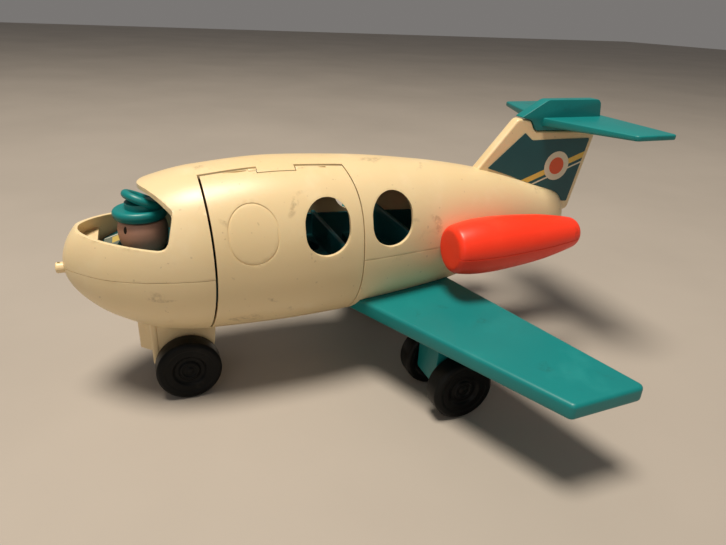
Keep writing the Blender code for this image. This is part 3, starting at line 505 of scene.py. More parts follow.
def pitched_about(item, pitch, pitch_y):
    """Lean a piece nose-down, by a small shear about the line at pitch_y."""
    for vert in item.data.vertices:
        vert.co.z += pitch * (vert.co.y - pitch_y * MM)
    return item


def pitched(item):
    return pitched_about(item, WING_PITCH, WING_PITCH_Y)


def wing_plan(grow=0.0, tip_radius=3.5, steps=10):
    """The wing's outline from above, with rounded tips, and grow added fore and aft."""
    leading = (WING_LEADING_TIP_Y - WING_LEADING_ROOT_Y) / WING_HALF_SPAN
    trailing = (WING_TRAILING_TIP_Y - WING_TRAILING_ROOT_Y) / WING_HALF_SPAN
    side = []
    for corner_y, first, last in (
        (WING_LEADING_TIP_Y - grow, -90 + math.degrees(math.atan(leading)), 0),
        (WING_TRAILING_TIP_Y + grow, 0, 90 + math.degrees(math.atan(trailing))),
    ):
        inward = 1 if first else -1
        turn = math.radians(last - first)
        reach = tip_radius * math.tan(turn / 2)
        centre = (WING_HALF_SPAN - tip_radius, corner_y + inward * reach)
        for k in range(steps + 1):
            angle = math.radians(first) + turn * k / steps
            side.append(
                (centre[0] + tip_radius * math.cos(angle), centre[1] + tip_radius * math.sin(angle))
            )
    nose, tail = (0, WING_LEADING_ROOT_Y - grow), (0, WING_TRAILING_ROOT_Y + grow)
    return [nose, *side, tail, *((-x, y) for x, y in reversed(side))]


def tow_peg_hole():
    return rod((0, -180, TOW_PEG_Z), TOW_PEG_HOLE_RADIUS, 12, "Y", 48)


def engine_pegs(side, radius):
    return [
        rod((side * (ENGINE_X + inner) / 2, y, ENGINE_Z), radius, ENGINE_X - inner, "X", 32)
        for y, inner in ENGINE_PEGS
    ]


# ---------------------------------------------------------------- materials

class Nodes:
    """A short way to write a material's nodes."""

    def __init__(self, name):
        self.material = bpy.data.materials.new(name)
        self.material.use_nodes = True
        self.tree = self.material.node_tree
        self.shader = self.tree.nodes["Principled BSDF"]
        self.place = self.add("ShaderNodeTexCoord").outputs["Object"]

    def add(self, kind, **settings):
        node = self.tree.nodes.new(kind)
        for key, value in settings.items():
            if hasattr(node, key):
                setattr(node, key, value)
            else:
                raise AttributeError(f"{kind} has no setting {key}")
        return node

    def link(self, source, socket):
        self.tree.links.new(source, socket)

    def math(self, operation, a, b=0.0, c=0.0):
        node = self.add("ShaderNodeMath", operation=operation)
        for socket, value in zip(node.inputs, (a, b, c)):
            if isinstance(value, (int, float)):
                socket.default_value = value
            else:
                self.link(value, socket)
        return node.outputs[0]

    def split(self, vector):
        node = self.add("ShaderNodeSeparateXYZ")
        self.link(vector, node.inputs[0])
        return node.outputs

    def band(self, value, middle, half):
        """1 where value lies within half of the middle, else 0."""
        return self.math("LESS_THAN", self.math("ABSOLUTE", self.math("SUBTRACT", value, middle)), half)

    def noise(self, scale, detail=4.0, roughness=0.55, stretch=None, distortion=0.0):
        """Noise with features of about 1 / scale metres."""
        node = self.add("ShaderNodeTexNoise")
        node.inputs["Scale"].default_value = scale
        node.inputs["Detail"].default_value = detail
        node.inputs["Roughness"].default_value = roughness
        node.inputs["Distortion"].default_value = distortion
        place = self.place
        if stretch:
            mapping = self.add("ShaderNodeMapping")
            mapping.inputs["Scale"].default_value = stretch
            self.link(place, mapping.inputs["Vector"])
            place = mapping.outputs["Vector"]
        self.link(place, node.inputs["Vector"])
        return node.outputs["Fac"]

    def ramp(self, value, *stops):
        """A colour ramp through (place, value or colour) stops."""
        node = self.add("ShaderNodeValToRGB")
        elements = node.color_ramp.elements
        while len(elements) < len(stops):
            elements.new(0.5)
        for element, (place, colour) in zip(elements, stops):
            element.position = place
            element.color = (*colour, 1) if isinstance(colour, tuple) else (colour,) * 3 + (1,)
        self.link(value, node.inputs["Fac"])
        return node.outputs["Color"]

    def mix(self, factor, first, second):
        node = self.add("ShaderNodeMix", data_type="RGBA")
        for socket, value in ((node.inputs[0], factor), (node.inputs[6], first), (node.inputs[7], second)):
            if isinstance(value, (int, float)):
                socket.default_value = value
            elif isinstance(value, tuple):
                socket.default_value = (*value, 1)
            else:
                self.link(value, socket)
        return node.outputs[2]

    def bump(self, height, strength, distance, normal=None):
        node = self.add("ShaderNodeBump")
        node.inputs["Strength"].default_value = strength
        node.inputs["Distance"].default_value = distance
        self.link(height, node.inputs["Height"])
        if normal:
            self.link(normal, node.inputs["Normal"])
        return node.outputs["Normal"]

    def finish(self, colour, roughness, normal=None, **settings):
        for name, value in (("Base Color", colour), ("Roughness", roughness), ("Normal", normal)):
            socket = self.shader.inputs[name]
            if value is None:
                continue
            if isinstance(value, (int, float)):
                socket.default_value = value
            elif isinstance(value, tuple):
                socket.default_value = (*value, 1)
            else:
                self.link(value, socket)
        for name, value in settings.items():
            self.shader.inputs[name.replace("_", " ")].default_value = value
        return self.material


def worn_plastic(
    name, colour, deep, pale, roughness=0.34, scuff=(0.05, 0.04, 0.03), scuffs=0.5, specks=0.0,
    subsurface=0.0, subsurface_colour=None, relief=1.0, specular=0.5,
):
    """Moulded plastic: slow colour drift, rubbed patches, soft smudges and fine scratches."""
    n = Nodes(name)
    drift = n.ramp(n.noise(9, 3), (0.32, 0.0), (0.70, 1.0))
    base = n.mix(drift, deep, colour)
    rubbed = n.ramp(n.noise(38, 5, 0.6), (0.56, 0.0), (0.74, 1.0))
    base = n.mix(n.math("MULTIPLY", rubbed, 0.30), base, pale)
    # Handling marks: a few soft smudges, each broken up by a finer noise.
    spots = n.ramp(n.noise(62, 1.5, 0.45, (1.0, 0.8, 1.0), 0.6), (0.665, 0.0), (0.735, 1.0))
    broken = n.ramp(n.noise(420, 3, 0.6), (0.38, 0.0), (0.62, 1.0))
    marks = n.math("MULTIPLY", n.math("MULTIPLY", spots, broken), scuffs)
    base = n.mix(marks, base, scuff)
    if specks:
        dots = n.ramp(n.noise(330, 1, 0.4), (0.752, 0.0), (0.775, 1.0))
        base = n.mix(n.math("MULTIPLY", dots, specks), base, scuff)
    rough = n.math("ADD", roughness - 0.05, n.math("MULTIPLY", n.noise(60, 6, 0.65), 0.12))
    rough = n.math("ADD", rough, n.math("MULTIPLY", rubbed, 0.10))
    scratches = n.noise(420, 3, 0.6, (1.0, 0.12, 1.0), 0.4)
    normal = n.bump(scratches, 0.08 * relief, 0.00012)
    normal = n.bump(n.noise(2400, 2, 0.5), 0.05 * relief, 0.00006, normal)
    normal = n.bump(n.noise(14, 2, 0.4), 0.16 * relief, 0.0011, normal)
    settings = {"Specular_IOR_Level": specular}
    if subsurface:
        settings["Subsurface_Weight"] = subsurface
        settings["Subsurface_Scale"] = 0.004
    material = n.finish(base, rough, normal, **settings)
    if subsurface:
        n.shader.inputs["Subsurface Radius"].default_value = subsurface_colour or (1, 0.6, 0.35)
    return material


CREAM = worn_plastic(
    "cream plastic", (0.80, 0.65, 0.40), (0.76, 0.59, 0.33), (0.86, 0.75, 0.53),
    roughness=0.34, scuff=(0.26, 0.18, 0.10), scuffs=0.42, specks=0.25, subsurface=0.10,
)
TURQUOISE = worn_plastic(
    "turquoise plastic", (0.004, 0.215, 0.215), (0.003, 0.175, 0.180), (0.012, 0.27, 0.265),
    roughness=0.37, scuff=(0.01, 0.08, 0.08), scuffs=0.35, specular=0.42,
)
INTERIOR = worn_plastic(
    "dark teal plastic", (0.004, 0.098, 0.110), (0.003, 0.078, 0.090), (0.008, 0.12, 0.13),
    roughness=0.42, scuffs=0.2,
)
ORANGE = worn_plastic(
    "orange plastic", (0.95, 0.048, 0.015), (0.90, 0.038, 0.011), (0.97, 0.080, 0.03),
    roughness=0.36, scuff=(0.35, 0.02, 0.01), scuffs=0.35, subsurface=0.1,
    subsurface_colour=(1, 0.2, 0.08), specular=0.4,
)
BLACK = worn_plastic(
    "black plastic", (0.0045, 0.0050, 0.0050), (0.003, 0.0033, 0.0033), (0.010, 0.010, 0.009),
    roughness=0.36, scuff=(0.03, 0.027, 0.022), scuffs=0.25, specular=0.12,
)


def steel_material():
    n = Nodes("plain steel")
    streaks = n.noise(900, 3, 0.6, (0.05, 1, 1))
    colour = n.mix(streaks, (0.42, 0.42, 0.43), (0.62, 0.61, 0.60))
    rough = n.math("ADD", 0.25, n.math("MULTIPLY", n.noise(200, 3), 0.2))
    return n.finish(colour, rough, n.bump(streaks, 0.1, 0.00005), Metallic=1.0)


def card_material():
    """A dull printed card: a grey-green ground with a pale edge line and a small yellow field."""
    n = Nodes("printed card")
    across, along, _ = n.split(n.place)
    line = n.band(n.math("ABSOLUTE", across), 0.0196, 0.0006)
    field = n.math(
        "MULTIPLY", n.band(n.math("ABSOLUTE", across), 0.0130, 0.0048), n.band(along, -0.1515, 0.0026)
    )
    ground = n.mix(n.noise(160, 3), (0.11, 0.135, 0.11), (0.155, 0.18, 0.15))
    colour = n.mix(field, ground, (0.50, 0.38, 0.10))
    colour = n.mix(line, colour, (0.52, 0.54, 0.48))
    return n.finish(colour, 0.55)


def label_material():
    """The fin label: deep teal with one slanting stripe, a thin cream line beside it and a plain roundel.
    """
    n = Nodes("printed label")
    _, along, up = n.split(n.place)
    slope = n.math("SUBTRACT", up, n.math("MULTIPLY", along, 0.36))
    stripe = n.band(slope, 0.0750, 0.0021)
    thin = n.band(slope, 0.0700, 0.0006)
    from_middle = n.math("SQRT", n.math(
        "ADD", n.math("POWER", n.math("SUBTRACT", along, 0.1480), 2.0),
        n.math("POWER", n.math("SUBTRACT", up, 0.1290), 2.0),
    ))
    disc = n.math("LESS_THAN", from_middle, 0.0105)
    core = n.math("LESS_THAN", from_middle, 0.0062)
    ground = n.mix(n.noise(60, 4), (0.003, 0.066, 0.082), (0.006, 0.086, 0.100))
    colour = n.mix(stripe, ground, (0.74, 0.50, 0.09))
    colour = n.mix(thin, colour, (0.70, 0.66, 0.50))
    colour = n.mix(disc, colour, (0.72, 0.68, 0.52))
    colour = n.mix(core, colour, (0.70, 0.10, 0.03))
    worn = n.ramp(n.noise(110, 6, 0.7), (0.66, 0.0), (0.70, 1.0))
    colour = n.mix(n.math("MULTIPLY", worn, 0.4), colour, (0.62, 0.54, 0.36))
    return n.finish(colour, 0.32, n.bump(n.noise(40, 3), 0.1, 0.0004))


def face_material():
    """Painted skin tone with two plain dark oval eyes, on the head's own axis."""
    n = Nodes("face paint")
    across, along, up = n.split(n.place)
    forward = n.math("SUBTRACT", PILOT_Y * MM, along)
    angle = n.math("ARCTAN2", across, forward)
    base = n.mix(n.noise(50, 4), (0.58, 0.30, 0.21), (0.68, 0.37, 0.27))
    for turn in (46, -6):
        aside = n.math("DIVIDE", n.math("SUBTRACT", angle, math.radians(turn)), 0.085)
        above = n.math("DIVIDE", n.math("SUBTRACT", up, 0.1086), 0.0021)
        inside = n.math("ADD", n.math("POWER", aside, 2.0), n.math("POWER", above, 2.0))
        base = n.mix(n.math("LESS_THAN", inside, 1.0), base, (0.006, 0.005, 0.005))
    return n.finish(base, 0.48, n.bump(n.noise(300, 4), 0.1, 0.0001))


CARD, LABEL = card_material(), label_material()
FACE = face_material()
STEEL = steel_material()


# ---------------------------------------------------------------- shells and door

def fin_blank():
    fin = prism(rounded_outline(FIN_OUTLINE, [0, 3, 1.2, 2.5, 1, 1, 3, 0]), -FIN_HALF, FIN_HALF, "X")
    return soften(fin, 1.7, 50, 5)


def make_upper_shell():
    shell = join(hull(), fin_blank())
    cut(shell, hull(WALL))
    clip(shell, box((-90, 90), (-220, 220), (SEAM_Z + GAP / 2, 220)))
    join(shell, in_hull(box((-40, 40), (-182, NOSE_LEDGE_REAR_Y), (98, 100.4))))
    for _, x, y, _ in SHELL_SCREWS:
        low = SEAM_Z + GAP / 2
        high = NOSE_POST_TOP_Z if y < NOSE_LEDGE_REAR_Y else 150
        join(shell, in_hull(rod((x, y, (low + high) / 2), BOSS_RADIUS, high - low)))
    cut(shell, cockpit_cutter())
    for side in (1, -1):
        cut(shell, window_cutter(REAR_WINDOW_Y, side))
        cut(shell, *engine_pegs(side, ENGINE_PEG_RADIUS + GAP))
    cut(shell, window_cutter(DOOR_WINDOW_Y, -1))
    opening = doorway(SHELL_EDGE_X)
    half = HINGE_LUG_LENGTH / 2
    tab = box((0, TAB_EDGE_X), (HINGE_Y - half, HINGE_Y + half), (120, 200))
    cut(shell, cut(opening, tab))
    centre = (HINGE_X, HINGE_Y, HINGE_Z)
    join(shell, rod(centre, LUG_BARREL_RADIUS, HINGE_LUG_LENGTH, "Y", 32))
    cut(shell, rod(centre, HINGE_HOLE_RADIUS, HINGE_LUG_LENGTH + 4, "Y", 24))
    cut(shell, tow_peg_hole())
    for _, x, y, _ in SHELL_SCREWS:
        cut(shell, rod((x, y, 91), SCREW_RADIUS + GAP, 15, "Z", 24))
    soften(shell, 0.55)
    shade(shell)
    stands_for(
        shell, "upper_shell", "fuselage_upper_shell", "airframe", CREAM
    )


def make_lower_shell():
    shell = cut(hull(), hull(WALL))
    clip(shell, box((-90, 90), (-220, 220), (0, SEAM_Z - GAP / 2)))
    liner = pitched(prism(wing_plan(GAP + CHANNEL_WALL), 30, WING_TOP_Z + GAP + CHANNEL_WALL))
    join(shell, in_hull(liner, 0.6))
    for _, x, y, _ in SHELL_SCREWS:
        low, high = 40, SEAM_Z - GAP / 2
        column = rod((x, y, (low + high) / 2), BOSS_RADIUS, high - low)
        join(shell, in_hull(column, 0.6))
    join(shell, in_hull(rod((0, PILOT_Y, 56), 6.5, 32), 0.6))
    for side in (1, -1):
        low, high = sorted(side * x for x in BRACKET_PLATE_X)
        plate = prism(rounded_outline(BRACKET_OUTLINE, [0, 2, 3, 4, 4, 4, 4, 0]), low, high, "X")
        rib_x = sorted(side * x for x in BRACKET_RIB_X)
        rib = box(rib_x, BRACKET_RIB_Y, (BRACKET_RIB_BOTTOM_Z, 62))
        join(plate, soften(rib, 1.4, 35, 5, 0))
        join(shell, cut(plate, plain_hull(1.2)))
    bow = soften(prism(BRACKET_BOW, BRACKET_BOW_BOTTOM_Z, 62), 0.9, 35, 4, 0)
    join(shell, cut(bow, plain_hull(1.2)))
    cut(shell, rod((0, PILOT_Y, 75), 2.8, 36, "Z", 32))
    cut(shell, pitched(prism(wing_plan(GAP), 30, WING_TOP_Z + GAP)))
    cut(shell, doorway(10))
    axle = rod((0, NOSE_AXLE_Y, WHEEL_RADIUS), AXLE_RADIUS + GAP, 40, "X", 32)
    cut(shell, axle, tow_peg_hole())
    for _, x, y, head_z in SHELL_SCREWS:
        top = head_z + SCREW_HEAD_HEIGHT + GAP
        cut(shell, rod((x, y, 70), SCREW_RADIUS + GAP, 60, "Z", 24))
        cut(shell, rod((x, y, (30 + top) / 2), SCREW_HEAD_RADIUS + 0.4, top - 30))
    for _, x, y, _ in WING_SCREWS:
        cut(shell, rod((x, y, 60), SCREW_RADIUS + GAP, 12, "Z", 24))
    soften(shell, 0.5)
    shade(shell)
    stands_for(
        shell, "lower_shell", "fuselage_lower_shell", "airframe", CREAM
    )


def blind_window_ring(depth=0.35, line=0.9):
    """A groove of even depth along the outline of the blind window."""
    skin = cut(hull(-1.0), hull(depth))
    ring = prism(stadium(WINDOW_WIDTH, WINDOW_HEIGHT, BLIND_WINDOW_Y, WINDOW_Z, 40), 12, 60, "X")
    inner = stadium(
        WINDOW_WIDTH - 2 * line, WINDOW_HEIGHT - 2 * line, BLIND_WINDOW_Y, WINDOW_Z, 40
    )
    cut(ring, prism(inner, 11, 61, "X"))
    return clip(ring, skin)


def make_door():
    door = cut(hull(), hull(WALL))
    clip(door, door_region(DOOR_EDGE_X, DOOR_FRONT_Y, DOOR_REAR_Y, DOOR_BOTTOM_Z))
    half = HINGE_LUG_LENGTH / 2
    notch = box((0, NOTCH_EDGE_X), (HINGE_Y - half - 0.5, HINGE_Y + half + 0.5), (130, 160))
    cut(door, notch)
    for side in (1, -1):
        middle = HINGE_Y + side * (half + 0.5 + HINGE_EAR_LENGTH / 2)
        barrel = rod((HINGE_X, middle, HINGE_Z), EAR_BARREL_RADIUS, HINGE_EAR_LENGTH, "Y", 32)
        join(door, barrel)
    cut(door, rod((HINGE_X, HINGE_Y, HINGE_Z), HINGE_HOLE_RADIUS, 60, "Y", 24))
    cut(door, window_cutter(DOOR_WINDOW_Y, 1))
    cut(door, pitched(prism(wing_plan(1.0), 30, WING_TOP_Z + 0.8)))
    cut(door, blind_window_ring())
    soften(door, 0.5)
    shade(door)
    stands_for(door, "door_panel", "cabin_door", "door", CREAM)


# ---------------------------------------------------------------- wing and tail

def tapered(outline, top_z, root, tip, half_span):
    plank = prism(outline, top_z - root, top_z)
    for vert in plank.data.vertices:
        if vert.co.z < (top_z - 0.1) * MM:
            vert.co.z += (root - tip) * abs(vert.co.x) / half_span
    return plank


def make_wing():
    wing = tapered(
        wing_plan(), WING_TOP_Z, WING_ROOT_THICKNESS, WING_TIP_THICKNESS, WING_HALF_SPAN
    )
    soften(pitched(wing), 2.4, 35, 6, 0)
    fairing = in_hull(pitched(prism(wing_plan(-0.6), 30, WING_TOP_Z - 2.5)), 0.0)
    join(wing, fairing)
    outline = rounded_outline(
        (
            (LEG_FRONT_Y, 56), (LEG_FRONT_Y, LEG_BOTTOM_Z + 5), (LEG_FRONT_Y + 5, LEG_BOTTOM_Z),
            (LEG_REAR_Y - 5, LEG_BOTTOM_Z), (LEG_REAR_Y, LEG_BOTTOM_Z + 5), (LEG_REAR_Y, 56),
        ),
        [0, 2, 2, 2, 2, 0],
    )
    for side in (1, -1):
        low, high = sorted(side * x for x in LEG_X)
        leg = soften(prism(outline, low, high, "X"), 0.8, 35, 3, 0)
        centre = (side * sum(LEG_X) / 2, MAIN_AXLE_Y, WHEEL_RADIUS)
        join(wing, leg)
        cut(wing, rod(centre, AXLE_RADIUS + GAP, 40, "X", 32))
    for _, x, y, head_z in WING_SCREWS:
        top = head_z + SCREW_HEAD_HEIGHT + GAP
        cut(wing, rod((x, y, 60), SCREW_RADIUS + GAP, 60, "Z", 24))
        cut(wing, rod((x, y, top - 15), SCREW_HEAD_RADIUS + 0.4, 30))
    shade(wing)
    stands_for(wing, "wing_moulding", "wing", "airframe", TURQUOISE)


def make_stabilizer():
    span = STABILIZER_HALF_SPAN
    half = ((0, 128.6), (span, 149.4), (span, 180.8), (0, 184.6))
    outline = [*half, (-span, 180.8), (-span, 149.4)]
    outline = rounded_outline(outline, [2, 3, 3, 1, 3, 3])
    plank = tapered(
        outline, STABILIZER_TOP_Z, STABILIZER_ROOT_THICKNESS, STABILIZER_TIP_THICKNESS, span
    )
    soften(plank, 0.9, 35, 3, 0)
    keel = prism(rounded_outline(STABILIZER_KEEL, [2, 2, 2, 2, 2, 2, 2, 2]), -4.3, 4.3, "X")
    soften(keel, 0.9, 50, 3, 0)
    tongue = box((-TONGUE_HALF, TONGUE_HALF), TONGUE_Y, TONGUE_Z)
    join(plank, keel, tongue)
    shade(plank)
    stands_for(
        plank, "tailplane", "stabilizer", "airframe", TURQUOISE
    )


# ---------------------------------------------------------------- engines

ENGINE_FRONT_Y, ENGINE_REAR_Y = 40.8, 137.4
ENGINE_FRONT_ROUND, ENGINE_REAR_ROUND = 3.2, 7.0


def engine_radius(y):
    """A blunt front, the fattest place a third of the way back, and a rounded tail."""
    low, high = ENGINE_FRONT_Y, ENGINE_REAR_Y
    places = np.array([low, 46.5, 53.0, 61.0, 69.0, 77.0, 91.0, 106.0, 117.0, 127.0, high])
    radii = np.array([14.6, 15.9, 17.0, 17.6, 17.7, 17.4, 16.5, 15.0, 13.2, 11.2, 8.8])
    radius = smooth_through(places, radii)(y)
    if y < low + ENGINE_FRONT_ROUND:
        t = 1 - (y - low) / ENGINE_FRONT_ROUND
        radius -= ENGINE_FRONT_ROUND * (1 - math.sqrt(max(1 - t * t, 0)))
    if y > high - ENGINE_REAR_ROUND:
        t = 1 - (high - y) / ENGINE_REAR_ROUND
        radius *= math.sqrt(max(1 - t * t, 0)) * 0.7 + 0.3 * (1 - t ** 5)
    return max(radius, 0.0)


def make_engine(side):
    name = "port" if side > 0 else "starboard"
    low, high = ENGINE_FRONT_Y, ENGINE_REAR_Y
    places = [low + ENGINE_FRONT_ROUND * (1 - math.cos(k * math.pi / 20)) for k in range(11)]
    places += list(np.arange(low + 5, high - 8, 1.8))
    places += [
        high - ENGINE_REAR_ROUND * (1 - math.sin(k * math.pi / 32)) for k in range(16)
    ]
    profile = [(low + 0.3, 0.0), (low + 0.05, 6.0)]
    profile += [(y, engine_radius(y)) for y in places] + [(high, 0.0)]
    engine = turned(profile, (side * ENGINE_X, 0, ENGINE_Z), "Y", 128)
    pitched_about(engine, ENGINE_PITCH, ENGINE_PITCH_Y)
    cut(engine, hull(-GAP))
    join(engine, *engine_pegs(side, ENGINE_PEG_RADIUS))
    cut(engine, engine_lines(side))
    soften(engine, 0.25, 40, 2, 0.3)
    shade(engine)
    stands_for(
        engine, f"engine_pod_{name}", f"engine_{name}", "airframe", ORANGE
    )


def engine_lines(side):
    """The moulding flash round the pod: a fine groove at the height of its axis."""
    low, high = ENGINE_Z - 1.6, ENGINE_Z - 1.2
    end = ENGINE_REAR_Y - 0.5
    plane = pitched_about(
        box((side * ENGINE_X - 30, side * ENGINE_X + 30), (30, 150), (low, high)), ENGINE_PITCH,
        ENGINE_PITCH_Y,
    )
    core = turned(
        [(ENGINE_FRONT_Y - 3, 0.0)]
        + [(y, max(engine_radius(y) - 0.35, 0.5)) for y in np.linspace(ENGINE_FRONT_Y + 0.4, end, 60)]
        + [(end, 0.0)],
        (side * ENGINE_X, 0, ENGINE_Z), "Y", 128,
    )
    return cut(plane, pitched_about(core, ENGINE_PITCH, ENGINE_PITCH_Y))


# ---------------------------------------------------------------- wheels

def make_wheel(name, node, body, inner_x, y, side):
    """A moulded wheel: crisp tread edges, a broad flat face, a ring recess and a low round hub."""
    r, w, bore = WHEEL_RADIUS, WHEEL_WIDTH, AXLE_RADIUS + 0.2
    outline = (
        (w - 3, 0), (w - 3, bore), (0, bore), (0, 6.5), (1.4, 7.2), (1.4, 13.4), (0, 14.6),
        (0.0, r - 1.6), (1.2, r), (w - 1.5, r), (w, r - 1.8), (w, 15.2), (w - 0.5, 14.2),
        (w - 0.5, 10.6), (w - 1.0, 9.9), (w - 2.3, 8.9), (w - 2.3, 6.6), (w - 1.2, 5.9),
        (w - 0.8, 4.6), (w - 1.8, 3.9), (w - 1.8, 2.6), (w - 1.0, 1.7), (w - 0.9, 0),
    )
    profile = [(side * along, radius) for along, radius in rounded_profile(outline, 0.8)]
    wheel = turned(profile, (side * inner_x, y, WHEEL_RADIUS), "X", 128)
    shade(wheel, 28)
    stands_for(wheel, name, node, body, BLACK)


def make_wheels():
    for side, word in ((1, "port"), (-1, "starboard")):
        for tyre, wheel, body, y, facing in (
            ("nose_tyre", f"nose_wheel_{word}", "nose_gear", NOSE_AXLE_Y, 1),
            ("outer_tyre", f"main_wheel_{word}_outer", f"main_gear_{word}", MAIN_AXLE_Y, 1),
            ("inner_tyre", f"main_wheel_{word}_inner", f"main_gear_{word}", MAIN_AXLE_Y, -1),
        ):
            low, high = node_box(wheel)
            near, far = sorted((abs(low[0]), abs(high[0])))
            start = near if facing > 0 else -far
            make_wheel(f"{tyre}_{word}", wheel, body, start, y, side * facing)


# ---------------------------------------------------------------- cabin and cockpit

def make_seat_deck():
    """One moulding: the cabin floor, its starboard wall, and three seat rows with two wells each."""
    seat_low = DECK_TOP_Z - 1.0
    deck = box((-60, 60), (-100.5, 56), (DECK_TOP_Z - DECK_THICKNESS, DECK_TOP_Z))
    for back_y, top_z in SEAT_ROWS:
        front_y = back_y - SEAT_BACK_THICKNESS
        side = ((front_y, seat_low), (front_y, top_z), (back_y, top_z), (back_y, seat_low))
        join(deck, prism(rounded_outline(side, [0, 1.2, 1.2, 0], 4), -60, 60, "X"))
        side = (
            (front_y - SEAT_DEPTH, seat_low), (front_y - SEAT_DEPTH, SEAT_BASE_Z),
            (front_y + 1, SEAT_BASE_Z), (front_y + 1, seat_low),
        )
        join(deck, prism(rounded_outline(side, [0, 1.5, 0, 0], 4), -60, 60, "X"))
    wall = box((-60, -5), (-100.5, 56), (seat_low, CABIN_WALL_TOP_Z))
    hollow = plain_hull(WALL + 0.9 + CABIN_WALL_THICKNESS)
    join(deck, cut(wall, hollow))
    in_hull(deck, WALL + 0.9)
    for back_y, _ in SEAT_ROWS:
        for side in (1, -1):
            y = back_y - SEAT_BACK_THICKNESS - SEAT_DEPTH / 2
            centre = (side * SEAT_WELL_X, y, SEAT_BASE_Z)
            cut(deck, rod(centre, SEAT_WELL_RADIUS, 2 * SEAT_WELL_DEPTH))
    for _, x, y, _ in WING_SCREWS:
        cut(deck, rod((x, y, DECK_TOP_Z), SCREW_RADIUS + GAP, 20, "Z", 24))
    soften(deck, 0.35, 50, 2, 0.4)
    shade(deck)
    stands_for(deck, "cabin_moulding", "seat_deck", "airframe", INTERIOR)


def make_cockpit_insert():
    """The cockpit tub: a floor round the pilot, a raked panel ahead and a bulkhead behind."""
    insert = box((-60, 60), (-160, -107), (89, 91))
    rake = ((-160, 90), (-160, 92.6), (-149, 96.2), (-149, 90))
    bulkhead = box((-60, 60), (-108, -106), (89.8, 139))
    join(insert, prism(rake, -60, 60, "X"), bulkhead)
    in_hull(insert, WALL + 0.8)
    well = rod((0, PILOT_Y, 90), PILOT_WELL_RADIUS, 20, "Z", 96)
    cut(insert, well, rod((0, -165, 95), BOSS_RADIUS + 0.8, 30, "Z", 48))
    soften(insert, 0.3, 50, 2, 0.3)
    shade(insert)
    stands_for(insert, "cockpit_tub", "cockpit_insert", "airframe", INTERIOR)
    rake = ((-158.8, 93.3), (-149.4, 96.4), (-149.5, 96.7), (-158.9, 93.6))
    card = prism(rake, -21, 21, "X")
    cut(card, rod((0, PILOT_Y, 95), PILOT_WELL_RADIUS + 0.4, 20, "Z", 96))
    stands_for(card, "instrument_card", "cockpit_card", "airframe", CARD)


def make_pilot():
    """A plain round head with two dark oval eyes, a body below the floor and a peaked cap."""
    head_profile = (
        (91.8, 0), (91.8, 7.5), (93.5, 10.4), (97.0, 12.6), (102.0, 13.8), (107.0, 13.9),
        (110.4, 13.2), (111.7, 12.4), (111.7, 0),
    )
    head = turned(rounded_profile(head_profile, 3.0, 6), (0, PILOT_Y, 0), "Z", 96)
    body_profile = (
        (58.0, 0), (58.0, 2.5), (74.0, 2.5), (74.0, 11.5), (84.0, 11.5), (85.0, 14.0),
        (88.5, 14.0), (88.5, 11.8), (90.5, 10.4), (91.5, 8.0), (91.5, 0),
    )
    body = turned(rounded_profile(body_profile, 0.5, 3), (0, PILOT_Y, 0), "Z", 64)
    cap = make_cap()
    for item, name, slot, material in (
        (head, "head", "face", FACE), (body, "body", "interior_teal", INTERIOR),
        (cap, "cap", "turquoise", TURQUOISE),
    ):
        turn = Matrix.Translation((0, PILOT_Y * MM, 0)) @ Matrix.Rotation(PILOT_REST_TURN, 4, "Z")
        item.data.transform(turn @ Matrix.Translation((0, -PILOT_Y * MM, 0)))
        shade(item, 40)
        stands_for(item, f"pilot_{name}_moulding", f"pilot_{name}", "pilot", material)


def make_cap():
    """A peaked cap: a thick round brim, and a rolled ring that rises to the front round a hollow."""
    brim_profile = (
        (112.0, 0), (112.0, 11.6), (113.2, 13.7), (115.6, 14.7), (117.6, 14.4), (118.7, 13.2),
        (118.6, 11.0), (118.2, 9.0), (118.2, 0),
    )
    cap = turned(rounded_profile(brim_profile, 0.9), (0, PILOT_Y, 0), "Z", 96)
    for vert in cap.data.vertices:
        ahead = vert.co.y - PILOT_Y * MM
        if ahead < 0:
            vert.co.y += ahead * 0.08
    crown_profile = (
        (-2.6, 0), (-2.6, 9.0), (-2.2, 10.8), (-0.9, 12.0), (0.9, 12.0), (2.2, 10.9), (2.5, 9.6),
        (1.9, 8.0), (0.2, 6.8), (-0.9, 5.6), (-1.0, 0),
    )
    crown = turned(rounded_profile(crown_profile, 0.9), (0, 0, 0), "Z", 96)
    tilt = Matrix.Rotation(math.radians(-27), 4, "X")
    crown.data.transform(Matrix.Translation(Vector((0, PILOT_Y + 1.6, 122.4)) * MM) @ tilt)
    neck = rod((0, PILOT_Y + 1, 119.6), 9.5, 4.4, "Z", 64)
    return join(cap, join(neck, crown))


# ---------------------------------------------------------------- labels and small parts

def make_fin_decal(side):
    outline = (
        (116.8, 153.4), (123.4, 148.2), (173.2, 148.2), (162.9, 101.6), (158.6, 101.8),
        (150, 106.4), (140, 111.4), (125, 117.7), (110, 123.4), (90.0, 130.1),
    )
    low, high = sorted((side * (FIN_HALF + 0.15), side * (FIN_HALF + 0.5)))
    radii = [0.6, 1.5, 1.5, 1.0, 1.0, 3, 3, 3, 3, 0.6]
    decal = prism(rounded_outline(outline, radii, 5), low, high, "X")
    cut(decal, hull(-GAP))
    word = "port" if side > 0 else "starboard"
    stands_for(decal, f"fin_label_{word}", f"fin_decal_{word}", "airframe", LABEL)


def make_tow_peg():
    profile = (
        (-184.6, 0), (-184.6, 2.6), (-184.0, 3.2), (-175.6, 3.2), (-175.6, 4.8), (-173.9, 4.8),
        (-173.9, 0),
    )
    peg = turned(rounded_profile(profile, 0.6), (0, 0, TOW_PEG_Z), "Y", 64)
    cut(peg, rod((0, -182.6, TOW_PEG_Z), 0.9, 10, "Z", 32))
    shade(peg)
    stands_for(peg, "tow_peg_moulding", "tow_peg", "airframe", CREAM)


